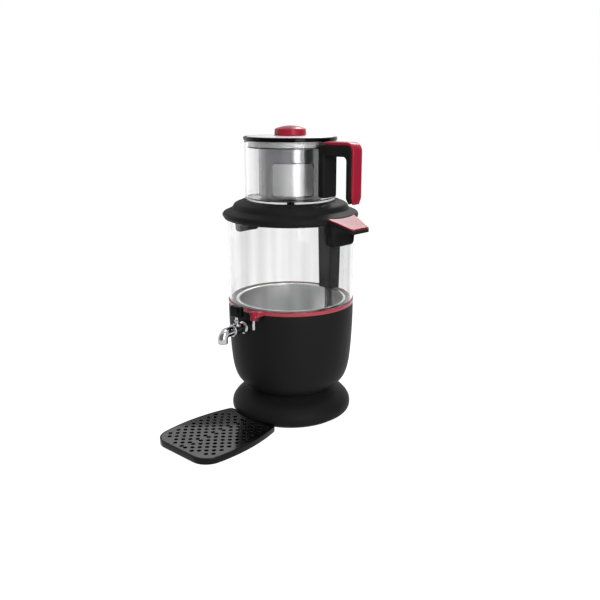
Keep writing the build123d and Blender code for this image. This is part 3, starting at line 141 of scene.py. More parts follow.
def turnedGrid(outline, turns):
    # point(u, v) = (r(u) cos v, r(u) sin v, z(u)), for v once round the upright axis
    angles = np.linspace(0, 2 * pi, turns, endpoint=False)
    r, z = outline[:, 0], outline[:, 1]
    return np.stack([np.outer(np.cos(angles), r), np.outer(np.sin(angles), r),
                     np.broadcast_to(z, (turns, len(z)))], axis=2)


def sectionGrid(centres, sides, ups, sections):
    # point(s, t) = centre(s) + side(s) x(s, t) + up(s) y(s, t), for a section (x, y) carried along a path
    return (centres[:, None, :] + sides[:, None, :] * sections[:, :, :1]
            + ups[:, None, :] * sections[:, :, 1:])


def roundedSection(halfWidths, halfHeights, radius, steps=5):
    # A rectangle with round corners for each half width and half height, as rows of (x, y).
    quarter = np.linspace(0, pi / 2, steps)
    angles = np.concatenate([quarter + turn * pi / 2 for turn in range(4)])
    signX = np.repeat([1, -1, -1, 1], steps)
    signY = np.repeat([1, 1, -1, -1], steps)
    halfWidths = np.atleast_1d(halfWidths)[:, None]
    halfHeights = np.atleast_1d(halfHeights)[:, None]
    corner = np.minimum(np.minimum(halfWidths, halfHeights), radius)
    x = signX * (halfWidths - corner) + corner * np.cos(angles)
    y = signY * (halfHeights - corner) + corner * np.sin(angles)
    return np.stack([x, y], axis=2)


def tubeGrid(path, radii, sides):
    # point(s, t) = path(s) + radius(s) (X cos t + up(s) sin t), a round tube along a path in the YZ plane
    along = np.gradient(path, axis=0)
    along /= np.linalg.norm(along, axis=1)[:, None]
    side = np.broadcast_to([1.0, 0.0, 0.0], path.shape)
    up = np.cross(along, side)
    angles = np.linspace(0, 2 * pi, sides, endpoint=False)
    circle = np.stack([np.cos(angles), np.sin(angles)], axis=1)
    return sectionGrid(path, side, up, np.asarray(radii)[:, None, None] * circle)


def gridFaces(rows, columns, wrapRows, wrapColumns):
    # The four corners of each cell of a grid that may close on itself either way.
    row = np.arange(rows if wrapRows else rows - 1)[:, None]
    column = np.arange(columns if wrapColumns else columns - 1)[None]
    nextRow, nextColumn = (row + 1) % rows, (column + 1) % columns
    corners = [row * columns + column, nextRow * columns + column,
               nextRow * columns + nextColumn, row * columns + nextColumn]
    return np.stack([corner.ravel() for corner in corners], axis=1)


# Pieces


def newObject(name, data):
    piece = bpy.data.objects.new(name, data)
    bpy.context.scene.collection.objects.link(piece)
    return piece


def settle(piece, body, slotName, finishName, *replaced):
    # Gives a piece its finish, the body that it rides on, and the CAD nodes that it stands for. The slot name
    # is not used.
    piece.data.materials.clear()
    piece.data.materials.append(finishes[finishName])
    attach(piece, body)
    if replaced:
        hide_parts(*replaced)


def smoothShade(data, sharpAngle):
    # Smooth all over, but for the edges that turn by more than the angle
    data.polygons.foreach_set("use_smooth", np.ones(len(data.polygons), bool))
    data.set_sharp_from_angle(angle=radians(sharpAngle))
    data.update()


def makePiece(name, grids, sharpAngle=38):
    # One mesh of several grids, each (points in mm, closes along rows, closes along columns)
    points, faces, count = [], [], 0
    for grid, wrapRows, wrapColumns in grids:
        rows, columns = grid.shape[:2]
        points.append(grid.reshape(-1, 3) * mm)
        faces.append(gridFaces(rows, columns, wrapRows, wrapColumns) + count)
        count += rows * columns
    points, faces = np.vstack(points), np.vstack(faces)
    data = bpy.data.meshes.new(name)
    data.from_pydata(points.tolist(), [], faces.tolist())
    work = bmesh.new()
    work.from_mesh(data)
    bmesh.ops.remove_doubles(work, verts=work.verts, dist=1e-6)
    bmesh.ops.recalc_face_normals(work, faces=work.faces)
    work.to_mesh(data)
    work.free()
    smoothShade(data, sharpAngle)
    return newObject(name, data)


def turnedPiece(name, outline, turns, axis="z", centre=(0, 0, 0), sharpAngle=38):
    # An outline of (radius, height) turned about an axis: upright, or along Y with the height running to -Y
    grid = turnedGrid(braced(np.asarray(outline)), turns)
    if axis == "y":
        grid = np.stack([grid[..., 0], -grid[..., 2], grid[..., 1]], axis=2)
    return makePiece(name, [(grid + np.array(centre, float), True, True)], sharpAngle)


def lathed(name, sizes, turns, corners, steps=6, axis="z", centre=(0, 0, 0)):
    # A turned piece with rounded corners, each of their lengths a number or the name of one of its sizes
    outline = [[sizes.get(part, part) for part in corner] for corner in corners]
    return turnedPiece(name, roundedPath(outline, steps=steps), turns, axis, centre)


def softenedCopy(node, name, bevel=0.0, segments=3, bevelAngle=40):
    # The CAD node's own solid with its loose triangles merged and its sharp edges rounded
    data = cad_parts[node].data.copy()
    data.name = name
    data.materials.clear()
    work = bmesh.new()
    work.from_mesh(data)
    bmesh.ops.remove_doubles(work, verts=work.verts, dist=2e-6)
    bmesh.ops.dissolve_limit(work, angle_limit=radians(0.6), verts=work.verts, edges=work.edges)
    work.to_mesh(data)
    work.free()
    for layer in list(data.attributes):
        if layer.name == "custom_normal":
            data.attributes.remove(layer)
    smoothShade(data, 35)
    piece = newObject(name, data)
    if bevel:
        rounding = piece.modifiers.new("rounding", "BEVEL")
        rounding.width = bevel * mm
        rounding.segments = segments
        rounding.limit_method = "ANGLE"
        rounding.angle_limit = radians(bevelAngle)
        rounding.use_clamp_overlap = True
        rounding.harden_normals = False
    return piece


def carve(piece, cutter, sharpAngle=38):
    # Takes the cutter's space out of the piece, and keeps the result as its mesh.
    cut = piece.modifiers.new("cut", "BOOLEAN")
    cut.object = cutter
    cut.operation = "DIFFERENCE"
    cut.solver = "EXACT"
    view = bpy.context.evaluated_depsgraph_get()
    data = bpy.data.meshes.new_from_object(piece.evaluated_get(view))
    piece.modifiers.clear()
    piece.data = data
    smoothShade(data, sharpAngle)
    bpy.data.objects.remove(cutter)


def boxGrid(low, high):
    # A plain box, as a grid that closes over the middles of its two ends
    ring = np.array([[low[0], low[1]], [high[0], low[1]], [high[0], high[1]], [low[0], high[1]]], float)
    middle = np.broadcast_to(ring.mean(axis=0), ring.shape)
    levels = ((middle, low[2]), (ring, low[2]), (ring, high[2]), (middle, high[2]))
    return np.stack([np.column_stack([row, np.full(4, float(height))]) for row, height in levels])


# Finishes

class Signal:
    # A socket of a shader tree that takes part in sums, so shader maths reads as plain arithmetic.

    def __init__(self, finish, socket):
        self.finish = finish
        self.socket = socket

    def maths(self, operation, *values):
        node = self.finish.node("ShaderNodeMath", {"operation": operation}, {})
        for place, value in enumerate((self,) + values):
            self.finish.feed(node.inputs[place], value)
        return Signal(self.finish, node.outputs[0])

    def __add__(self, other):
        return self.maths("ADD", other)

    __radd__ = __add__

    def __mul__(self, other):
        return self.maths("MULTIPLY", other)

    __rmul__ = __mul__

    def __sub__(self, other):
        return self.maths("SUBTRACT", other)

    def __rsub__(self, other):
        return (self * -1) + other

    def __pow__(self, other):
        return self.maths("POWER", other)

    def above(self, level):
        return self.maths("GREATER_THAN", level)

    def clamped(self):
        return self.maths("MAXIMUM", 0.0).maths("MINIMUM", 1.0)


class Finish:
    # The shader tree of a material or a world: one method for any node, and what the finishes share

    def __init__(self, owner):
        owner.use_nodes = True
        self.owner = owner
        self.tree = owner.node_tree
        self.tree.nodes.clear()
        self.place = Signal(self, self.node("ShaderNodeTexCoord", {}, {}).outputs["Object"])

    def node(self, kind, settings, sockets):
        made = self.tree.nodes.new(kind)
        for key, value in settings.items():
            setattr(made, key, value)
        for key, value in sockets.items():
            self.feed(made.inputs[key], value)
        return made

    def feed(self, socket, value):
        if isinstance(value, Signal):
            self.tree.links.new(value.socket, socket)
        elif socket.type == "RGBA" and len(value) == 3:
            socket.default_value = (*value, 1.0)
        else:
            socket.default_value = value

    def noise(self, scale, detail, stretch=None):
        # Fractal noise on the piece's own coordinates, stretched by a scale for each axis
        place = self.place
        if stretch:
            mapping = self.node("ShaderNodeMapping", {}, {"Vector": place, "Scale": stretch})
            place = Signal(self, mapping.outputs[0])
        return self.noiseAt(place, scale, detail)

    def noiseAt(self, place, scale, detail):
        made = self.node("ShaderNodeTexNoise", {}, {"Vector": place, "Scale": scale, "Detail": detail})
        return Signal(self, made.outputs[0])

    def polar(self):
        # (radius, angle, height) of a point about the upright axis
        parts = self.node("ShaderNodeSeparateXYZ", {}, {"Vector": self.place})
        x, y, z = (Signal(self, out) for out in parts.outputs)
        return (x * x + y * y) ** 0.5, x.maths("ARCTAN2", y), z

    def packed(self, *parts):
        made = self.node("ShaderNodeCombineXYZ", {}, dict(zip("XYZ", parts)))
        return Signal(self, made.outputs[0])

    def blend(self, share, low, high):
        made = self.node("ShaderNodeMix", {"data_type": "RGBA"}, {"Factor": share})
        self.feed(made.inputs[6], low)
        self.feed(made.inputs[7], high)
        return Signal(self, made.outputs[2])

    def bump(self, height, depth, strength=1.0):
        made = self.node("ShaderNodeBump", {}, {"Height": height, "Distance": depth, "Strength": strength})
        return Signal(self, made.outputs[0])

    def surface(self, **sockets):
        shader = self.node("ShaderNodeBsdfPrincipled", {}, sockets)
        out = self.node("ShaderNodeOutputMaterial", {}, {})
        self.tree.links.new(shader.outputs[0], out.inputs["Surface"])
        return self.owner


def newFinish(name):
    return Finish(bpy.data.materials.new(name))


def times(colour, factor, lift=0.0):
    # A colour made lighter or darker by a factor, and lifted by a level
    return tuple(min(1.0, part * factor + lift) for part in colour)


def mouldedPlastic(name, colour, roughness, grain, specular, coat=0.0, texture=0.00002, shadedCore=0.0, foot=0.0):
    # Moulded plastic: a fine spark-eroded grain, slow clouds in its gloss, and faint dust that greys it.
    # Inside the radius of its shaded core the part is painted black as shade, and below the height of its
    # foot it is black, both in mm.
    made = newFinish(name)
    clouds = made.noise(14, 3)
    fine = made.noise(grain, 2)
    handled = made.noise(55, 4)
    tint = made.blend((clouds - 0.35) * 0.42, colour, times(colour, 1.3, 0.002))
    # Black inside the shaded core is painted shade.
    for part, edge in ((0, shadedCore), (2, foot)):
        if edge:
            tint = made.blend(made.polar()[part].above(edge * mm), (0.004, 0.004, 0.0045), tint)
    return made.surface(**{
        "Base Color": tint,
        "Roughness": roughness + (clouds - 0.5) * 0.10 + (handled - 0.5) * 0.05,
        "Specular IOR Level": specular,
        "Coat Weight": coat,
        "Coat Roughness": 0.04,
        "Normal": made.bump(fine, texture)})


def clearGlass(name, pale, deep, ior, streaks):
    # Blown glass: almost no colour, in upright bands that are a little thicker and greyer than the rest,
    # with a slow waviness that bends what is seen through it a very little
    made = newFinish(name)
    radius, angle, height = made.polar()
    bands = made.noiseAt(made.packed(angle * streaks, height * 0.8, 0.0), 1.0, 1)
    waves = made.noise(9, 2, (1, 1, 0.35))
    smears = made.noise(38, 3, (1, 1, 0.4))
    return made.surface(**{
        "Base Color": made.blend(((bands - 0.42) * 5.0).clamped(), (deep, deep, deep), (pale, pale, pale)),
        "Roughness": (smears - 0.62).clamped() * 0.08,
        "IOR": ior,
        "Transmission Weight": 1.0,
        "Normal": made.bump(waves, 0.00008, 0.3)})


def brushedSteel(name, colour, roughness, lines, contrast=0.12, depth=0.00003, flat=False):
    # Steel with its grain round the axis, on a wall or on a flat disc: noise squeezed along the lines
    made = newFinish(name)
    radius, angle, height = made.polar()
    along = (angle * 0.35, 0.0) if flat else (height * lines, angle * 0.6)
    grain = made.noiseAt(made.packed(radius * lines, *along), 1.0, 3)
    clouds = made.noise(20, 3)
    return made.surface(**{
        "Base Color": made.blend(grain, times(colour, 1 - contrast), times(colour, 1 + contrast * 0.6)),
        "Metallic": 1.0,
        "Roughness": roughness + (grain - 0.5) * 0.14 + (clouds - 0.5) * 0.06,
        "Normal": made.bump(grain, depth)})


def platedMetal(name, colour, roughness):
    # Chrome plate: very smooth, with a faint orange peel and dulled patches
    made = newFinish(name)
    peel = made.noise(120, 2)
    dull = made.noise(45, 3)
    return made.surface(**{
        "Base Color": made.blend(dull, times(colour, 0.93), colour),
        "Metallic": 1.0,
        "Roughness": roughness + (dull - 0.5).clamped() * 0.10,
        "Normal": made.bump(peel, 0.00004, 0.5)})


def softRubber(name, colour):
    # Rubber or silicone: a dull, powdery skin in soft clouds
    made = newFinish(name)
    grain = made.noise(700, 2)
    clouds = made.noise(30, 3)
    return made.surface(**{
        "Base Color": made.blend(clouds, colour, times(colour, 1.6)),
        "Roughness": 0.62 + (clouds - 0.5) * 0.15,
        "Specular IOR Level": 0.15,
        "Normal": made.bump(grain, 0.00005)})


def piercedSheet(name, colour, roughness, wallR, pitch, holeR):
    # A pierced screen on a round wall: rows of round holes a pitch apart, painted dark as the shade inside
    # them
    made = newFinish(name)
    radius, angle, height = made.polar()
    rowRise = 0.866  # of the pitch, so that each hole has six neighbours at the same distance
    across = angle * (wallR / pitch)
    up = height * (1 / (pitch * mm * rowRise))
    row = up.maths("FLOOR")
    shifted = across + row.maths("MODULO", 2.0).maths("ABSOLUTE") * 0.5
    x = shifted.maths("FRACT") - 0.5
    y = (up.maths("FRACT") - 0.5) * rowRise
    gone = ((x * x + y * y) ** 0.5) * pitch
    solid = ((gone - holeR) * (1 / (pitch * 0.08))).clamped()
    grain = made.noise(60, 3, (1, 1, 6))
    return made.surface(**{
        # The holes' dark colour is painted shade.
        "Base Color": made.blend(solid, times(colour, 0.25), made.blend(grain, times(colour, 0.9), colour)),
        "Metallic": 1.0,
        "Roughness": roughness + (grain - 0.5) * 0.08 + (1 - solid) * 0.2,
        "Normal": made.bump(solid, 0.00012, 0.6)})


# Colours are linear, the depth and texture of a grain are in metres, and every other length is in mm.
finishLooks = {
    mouldedPlastic: {
        "mattePlastic": dict(colour=(0.0135, 0.0135, 0.014), roughness=0.5, grain=900, specular=0.05,
                             texture=0.00004),
        "innerPlastic": dict(colour=(0.008, 0.008, 0.009), roughness=0.42, grain=700, specular=0.12,
                             texture=0.00004),
        "columnPlastic": dict(colour=(0.004, 0.004, 0.005), roughness=0.12, grain=160, specular=0.12,
                              texture=0.0002),
        "glossBlack": dict(colour=(0.002, 0.002, 0.0025), roughness=0.08, grain=260, specular=0.07),
        "trayBlack": dict(colour=(0.003, 0.003, 0.0035), roughness=0.16, grain=260, specular=0.12),
        "gridBlack": dict(colour=(0.004, 0.004, 0.0045), roughness=0.2, grain=260, specular=0.6, coat=0.6),
        "glossRed": dict(colour=(0.37, 0.016, 0.038), roughness=0.24, grain=260, specular=0.12),
        # Inside 81.4 mm the ring is painted black as the shade on its inner ledge.
        "ringRed": dict(colour=(0.46, 0.03, 0.055), roughness=0.16, grain=260, specular=0.5, shadedCore=81.4),
        "bracketRed": dict(colour=(0.46, 0.03, 0.055), roughness=0.16, grain=260, specular=0.5,
                           foot=157.7)},
    clearGlass: {
        "tankGlass": dict(pale=0.93, deep=0.79, ior=1.22, streaks=3.2),
        "jugGlass": dict(pale=0.94, deep=0.80, ior=1.24, streaks=2.2)},
    brushedSteel: {
        "bowlSteel": dict(colour=(0.84, 0.84, 0.84), roughness=0.34, lines=900, contrast=0.04,
                          depth=0.000002),
        "cupSteel": dict(colour=(0.23, 0.23, 0.235), roughness=0.22, lines=600, contrast=0.06,
                         depth=0.000006),
        "bandSteel": dict(colour=(0.50, 0.50, 0.505), roughness=0.58, lines=600),
        "lidSteel": dict(colour=(0.68, 0.68, 0.69), roughness=0.34, lines=700, contrast=0.06, flat=True),
        "screwSteel": dict(colour=(0.5, 0.5, 0.52), roughness=0.3, lines=900),
        "castAluminium": dict(colour=(0.6, 0.6, 0.6), roughness=0.4, lines=300)},
    piercedSheet: {
        "screenSteel": dict(colour=(0.56, 0.56, 0.565), roughness=0.34, wallR=41.0, pitch=1.1, holeR=0.22)},
    platedMetal: {
        "chrome": dict(colour=(0.42, 0.42, 0.43), roughness=0.05)},
    softRubber: {
        "rubber": dict(colour=(0.012, 0.012, 0.012)),
        "silicone": dict(colour=(0.05, 0.05, 0.05))},
}
finishes = {name: maker(name, **look) for maker, looks in finishLooks.items() for name, look in looks.items()}
print("finishes made:", len(finishes))


# Foot and body

foot = {"neckR": 54.5, "radius": 83.1, "low": 2.0, "top": 36.5, "wall": 3.0, "boreR": 44.0,
        "curve": [(0.77, 0), (0.955, 0.087), (1, 0.246), (0.972, 0.391), (0.857, 0.551), (0.647, 0.71),
                  (0.262, 0.884), (0, 1)],
        "slotHalf": 21.6, "slotLow": 4.7, "slotHigh": 7.3, "slotFrom": -88.1, "slotEnd": -65.0}
body = {"radius": 85.2, "top": 157.7, "wall": 2.8, "floor": 3.0,
        "curve": [(0, 0), (0.114, 0.025), (0.375, 0.062), (0.64, 0.128), (0.815, 0.243), (0.92, 0.441),
                  (0.98, 0.705), (1, 0.92), (1, 1)]}


def scaledCurve(curve, inner, outer, low, high):
    # A smooth line through (radius, height) points that are given as shares of the two spans
    radii, heights = np.array(curve).T
    points = np.column_stack([inner + radii * (outer - inner), low + heights * (high - low)])
    return smoothThrough(points, 64)


footSkin = scaledCurve(foot["curve"], foot["neckR"], foot["radius"], foot["low"], foot["top"])
footInside = insetLine(footSkin, foot["wall"])
footRoof = foot["top"] - foot["wall"]
footInside = footInside[footInside[:, 1] < footRoof]
footShell = turnedPiece("footShell", np.vstack([
    footSkin, [[foot["boreR"], foot["top"]], [foot["boreR"], footRoof]], footInside[::-1]]), 200)
slotGrid = boxGrid((-foot["slotHalf"], foot["slotFrom"], foot["slotLow"]),
                   (foot["slotHalf"], foot["slotEnd"], foot["slotHigh"]))
carve(footShell, makePiece("slotCutter", [(slotGrid, False, True)]))
settle(footShell, "base", "matte_black", "mattePlastic", "foot_shell")

bodySkin = scaledCurve(body["curve"], foot["neckR"], body["radius"], foot["top"], body["top"])
bodyInside = insetLine(bodySkin, body["wall"])
bodyFloor = foot["top"] + body["floor"]
bodyInside = bodyInside[bodyInside[:, 1] > bodyFloor]
bodyShell = turnedPiece("bodyShell", np.vstack([
    [[foot["boreR"], foot["top"]]], bodySkin, bodyInside[::-1], [[foot["boreR"], bodyFloor]]]), 200)
settle(bodyShell, "base", "matte_black", "mattePlastic", "body_shell")
print("foot and body made")

# Trim ring, bowl and tank

trim = {"low": 157.7, "top": 162.5, "outer": 85.55, "grooveOut": 84.65, "grooveIn": 81.55,
        "grooveFloor": 159.5, "seatR": 75.05, "ledge": 161.5, "boreR": 71.65, "spigotIn": 78.95,
        "spigotOut": 82.35, "spigotLow": 153.0}
bowl = {"radius": 71.6, "wall": 1.0, "floor": 96.5, "cornerR": 26.0, "rim": 161.5, "flangeR": 75.0,
        "top": 162.5}
tank = {"radius": 84.6, "wall": 3.0, "low": 160.5, "top": 275.0, "edgeR": 1.1}

trimRing = lathed("trimRing", trim, 240, [
    ("boreR", "low", 0), ("spigotIn", "low", 0), ("spigotIn", "spigotLow", 0.3),
    ("spigotOut", "spigotLow", 0.3), ("spigotOut", "low", 0), ("outer", "low", 0.5), ("outer", "top", 0.42),
    ("grooveOut", "top", 0.42), ("grooveOut", "grooveFloor", 0), ("grooveIn", "grooveFloor", 0),
    ("grooveIn", "top", 0.6), ("seatR", "top", 0.25), ("seatR", "ledge", 0), ("boreR", "ledge", 0)])
settle(trimRing, "base", "gloss_red", "ringRed", "trim_ring")

bowlBore, bowlFloor = bowl["radius"] - bowl["wall"], bowl["floor"] + bowl["wall"]
bowlPiece = lathed("boilerBowl", bowl, 200, [
    (0, "floor", 0), ("radius", "floor", "cornerR"), ("radius", "rim", 0.3), ("flangeR", "rim", 0.15),
    ("flangeR", "top", 0.45), (bowlBore, "top", 1.4),
    (bowlBore, bowlFloor, bowl["cornerR"] - bowl["wall"]), (0, bowlFloor, 0)], steps=14)
settle(bowlPiece, "base", "polished_steel", "bowlSteel", "boiler_bowl")

tankBore = tank["radius"] - tank["wall"]
tankGlass = lathed("tankGlass", tank, 256, [
    (tankBore, "low", "edgeR"), ("radius", "low", "edgeR"), ("radius", "top", "edgeR"),
    (tankBore, "top", "edgeR")])
settle(tankGlass, "base", "clear_glass", "tankGlass", "tank_glass")
print("ring, bowl and tank made")

# Tank lid

lid = {"radius": 89.8, "low": 271.6, "lipWidth": 11.6, "lipHeight": 12.8, "seat": 295.6, "seatR": 62.5,
       "recess": 0.6, "boreR": 49.5, "seatThickness": 2.4, "skirtIn": 84.9, "gasketTop": 276.0,
       "ledge": 2.4, "underR": 76.2, "notches": 12, "notchHalf": 1.3, "notchDepth": 2.6, "notchTurn": 15.0}
seatFloor = lid["seat"] - lid["recess"]
seatUnder = seatFloor - lid["seatThickness"]
creaseR, creaseZ = lid["radius"] - lid["lipWidth"], lid["low"] + lid["lipHeight"]
ledgeTop = lid["gasketTop"] + lid["ledge"]
lidShell = lathed("lidShell", lid, 240, [
    ("skirtIn", "low", 0.6), (lid["radius"] - 2.2, "low", 1.2), ("radius", lid["low"] + 3.4, 2.0),
    ("radius", lid["low"] + 8.2, 3.2), (creaseR, creaseZ, 2.0), (creaseR - 3.6, lid["seat"] - 4.4, 7.0),
    (lid["seatR"] + 1.0, "seat", 0.6), ("seatR", "seat", 0.2), ("seatR", seatFloor, 0),
    ("boreR", seatFloor, 0.3), ("boreR", seatUnder, 0), (lid["seatR"] - 1, seatUnder, 1),
    (creaseR - 6.2, lid["seat"] - 7.4, 4), (creaseR - 2, creaseZ - 2.6, 0.6),
    (lid["skirtIn"] - 2, ledgeTop, 0), ("underR", ledgeTop, 0), ("underR", "gasketTop", 0),
    ("skirtIn", "gasketTop", 0)], steps=9)
notch = boxGrid((lid["seatR"] - 0.5, -lid["notchHalf"], seatFloor),
                (lid["seatR"] + lid["notchDepth"], lid["notchHalf"], lid["seat"] + 1))
x, y, z = (notch[..., axis] for axis in range(3))
notchGrids = []
for index in range(lid["notches"]):
    turn = radians(lid["notchTurn"] + index * 360 / lid["notches"])
    turned = np.stack([x * cos(turn) - y * sin(turn), x * sin(turn) + y * cos(turn), z], axis=2)
    notchGrids.append((turned, False, True))
carve(lidShell, makePiece("notchCutter", notchGrids), 30)
settle(lidShell, "tank_lid", "matte_black", "mattePlastic", "lid_shell")
print("tank lid made")

# Teapot glass, infuser and lid

jug = {"radius": 60.0, "wall": 2.2, "floor": 3.0, "low": 295.3, "top": 371.0, "cornerR": 3.4, "valveR": 5.0}
jugBore, jugFloor = jug["radius"] - jug["wall"], jug["low"] + jug["floor"]
jugGlass = lathed("jugGlass", jug, 240, [
    ("valveR", "low", 0.3), ("radius", "low", "cornerR"), ("radius", "top", 1.05), (jugBore, "top", 1.05),
    (jugBore, jugFloor, jug["cornerR"] - 1), ("valveR", jugFloor, 0.3)], steps=9)
settle(jugGlass, "teapot", "clear_glass", "jugGlass", "jug_glass")

infuser = {"rimR": 54.7, "sheet": 0.8, "rimLow": 363.2, "cupR": 41.5, "low": 300.6, "top": 371.0,
           "flangeR": 59.2, "windowAngle": 80.0, "windowTurn": -42.0, "windowLow": 302.6,
           "windowTop": 345.4, "windowCornerR": 5.0, "ridge": 0.55, "ridgeHalf": 0.75, "press": 0.35,
           "pressOver": 1.2, "turns": 640, "rows": 120, "backRows": 30, "screenInset": 0.30,
           "screenSheet": 0.4, "screenGap": 1.1, "screenRings": 12, "beadR": 0.75, "beadOut": 0.1,
           "beadUp": 0.3}
sheet, rimLow, rimR = infuser["sheet"], infuser["rimLow"], infuser["rimR"]
cupBore, rimBack, rimTop = infuser["cupR"] - sheet, rimR - sheet, infuser["top"] + sheet
infuserRim = lathed("infuserRim", infuser, 200, [
    (cupBore, rimLow, 0), (rimR, rimLow, 2.0), (rimR, "top", 0.3), ("flangeR", "top", 0.25),
    ("flangeR", rimTop, 0.25), (rimBack, rimTop, 0.8), (rimBack, rimLow + sheet, 1.3),
    (cupBore, rimLow + sheet, 0)])
settle(infuserRim, "infuser", "brushed_steel", "bandSteel", "infuser_rim")
beadCentre = (rimR + infuser["beadOut"], rimLow + infuser["beadUp"])
infuserBead = turnedPiece("infuserBead", arc(beadCentre, infuser["beadR"], 0, 2 * pi, 13)[:-1], 200)
settle(infuserBead, "infuser", "rubber", "silicone")

windowHalfWide = infuser["cupR"] * radians(infuser["windowAngle"]) / 2
windowHalfHigh = (infuser["windowTop"] - infuser["windowLow"]) / 2
windowMiddle = (infuser["windowTop"] + infuser["windowLow"]) / 2


def windowInset(angle, height):
    # Distance in mm from a point of the cup's wall to its nearest window's outline, positive inside it
    third = 2 * pi / 3
    offset = (angle - radians(infuser["windowTurn"]) + third / 2) % third - third / 2
    corner = infuser["windowCornerR"]
    x = np.abs(offset) * infuser["cupR"] - (windowHalfWide - corner)
    y = np.abs(height - windowMiddle) - (windowHalfHigh - corner)
    outside = np.hypot(np.maximum(x, 0), np.maximum(y, 0)) + np.minimum(np.maximum(x, y), 0)
    return corner - outside


def cupGrid():
    # point(angle, height) = (r cos angle, r sin angle, height), where r swells in a soft ridge along each
    # window's outline and is pressed in inside it. The back has fewer rows and lies a sheet further in.
    angle, height = np.meshgrid(np.linspace(0, 2 * pi, infuser["turns"], endpoint=False),
                                np.linspace(infuser["low"] + sheet, rimLow, infuser["rows"]), indexing="ij")
    inside = windowInset(angle, height)
    ridge = infuser["ridge"] * np.exp(-(inside / infuser["ridgeHalf"]) ** 2)
    skin = infuser["cupR"] + ridge - infuser["press"] * np.clip(inside / infuser["pressOver"], 0, 1)
    outer, back = (np.stack([r * np.cos(angle), r * np.sin(angle), height], axis=2)
                   for r in (skin, skin - sheet))
    coarse = np.linspace(infuser["rows"] - 1, 0, infuser["backRows"]).astype(int)
    return np.concatenate([outer, back[:, coarse]], axis=1)


def screenGrid(turn):
    # One window's screen: rings of the window's outline drawn in to its middle, front and back
    gap, rings, corner = infuser["screenGap"], infuser["screenRings"], infuser["windowCornerR"]
    outline = roundedSection(windowHalfWide - gap, windowHalfHigh - gap, corner - gap, 10)[0]
    outline = evenly(np.vstack([outline, outline[:1]]), 121)[:-1]
    shares = np.concatenate([np.linspace(0, 1, rings), np.linspace(1, 0, rings)])
    screenR = infuser["cupR"] - infuser["screenInset"]
    radius = np.repeat([screenR, screenR - infuser["screenSheet"]], rings)[:, None]
    angle = radians(turn) + outline[None, :, 0] * shares[:, None] / infuser["cupR"]
    height = windowMiddle + outline[None, :, 1] * shares[:, None]
    return np.stack([radius * np.cos(angle), radius * np.sin(angle), height], axis=2)


infuserCup = makePiece("infuserCup", [(cupGrid(), True, True)], 60)
settle(infuserCup, "infuser", "brushed_steel", "cupSteel", "infuser_cup")
screenGrids = [(screenGrid(infuser["windowTurn"] + turn), False, True) for turn in (0, 120, 240)]
infuserScreens = makePiece("infuserScreens", screenGrids, 60)
settle(infuserScreens, "infuser", "brushed_steel", "screenSteel", "infuser_screens")
print("teapot glass and infuser made")

potLid = {"radius": 61.0, "low": 371.8, "height": 5.2, "band": 10.5, "plateR": 57.0, "plateGap": 0.05,
          "sheet": 1.4, "dome": 1.2}
lidTop = potLid["low"] + potLid["height"]
plateSeat, rimBore = lidTop - potLid["sheet"], potLid["radius"] - potLid["band"]
potLidRim = lathed("potLidRim", potLid, 240, [
    (rimBore, "low", 0.3), ("radius", "low", 0.6), ("radius", lidTop - 0.6, 1.2),
    (potLid["radius"] - 1.8, lidTop, 0.8), ("plateR", lidTop, 0.2), ("plateR", plateSeat, 0),
    (rimBore, plateSeat, 0.3)])
settle(potLidRim, "pot_lid", "gloss_black", "glossBlack", "pot_lid_rim")

plateEdge = potLid["plateR"] - potLid["plateGap"]
plateR = np.linspace(0, plateEdge, 30)
plateTop = lidTop + potLid["dome"] * (1 - (plateR / plateEdge) ** 2)
plateSkin = np.column_stack([plateR, plateTop])
plateBack = np.column_stack([plateR, plateTop - potLid["sheet"]])
potLidPlate = turnedPiece("potLidPlate", np.vstack([plateBack, plateSkin[::-1]]), 240, sharpAngle=50)
settle(potLidPlate, "pot_lid", "polished_steel", "lidSteel", "pot_lid_plate")

knob = {"radius": 20.8, "low": 378.2, "height": 12.2, "shoulder": 8.0, "taper": 0.7, "edgeR": 0.9,
        "shoulderR": 1.2, "domeFrom": 2.5}
knobTop, knobEdge = knob["low"] + knob["height"], knob["radius"] - knob["taper"]
rise = knob["height"] - knob["shoulder"]
domeR = (knobEdge ** 2 + rise ** 2) / (2 * rise)
domeCorners = [(r, knobTop - domeR + (domeR ** 2 - r ** 2) ** 0.5, 0)
               for r in np.linspace(knobEdge - knob["domeFrom"], 0, 16)]
knobPiece = lathed("potLidKnob", knob, 160, [
    (0, "low", 0), ("radius", "low", "edgeR"), (knobEdge, knob["low"] + knob["shoulder"], "shoulderR"),
    *domeCorners], steps=8)
settle(knobPiece, "pot_lid", "gloss_red", "glossRed", "pot_lid_knob")
print("teapot lid made")

# Teapot handle

handle = {"mountX": 60.85, "mountOut": 68.2, "mountHalf": 13.2, "mountLow": 303.0, "mountEdgeR": 2.4,
          "mountFootR": 3.0, "mountTopR": 0.3, "mountDraw": 6.0, "barLow": 354.8, "top": 372.4,
          "reach": 110.8, "gripDepth": 11.5, "gripHalf": 9.2, "gripLow": 298.5, "skin": 4.2,
          "skinStart": 64.0, "skinLow": 297.7, "skinHalf": 12.2, "cornerR": 11.0, "fingerR": 5.5,
          "edgeR": 1.8, "skinEdgeR": 1.9, "endR": 2.2, "skinEndR": 2.6, "narrowFrom": 66.0,
          "narrowOver": 32.0}


def finelyRounded(corners, fine=8):
    # An open line with rounded corners, each of its runs cut into a few equal steps
    line = roundedPath(corners, closed=False, steps=14)
    places = np.linspace(0, len(line) - 1, (len(line) - 1) * fine + 1)
    return np.stack([np.interp(places, np.arange(len(line)), line[:, axis]) for axis in (0, 1)], axis=1)


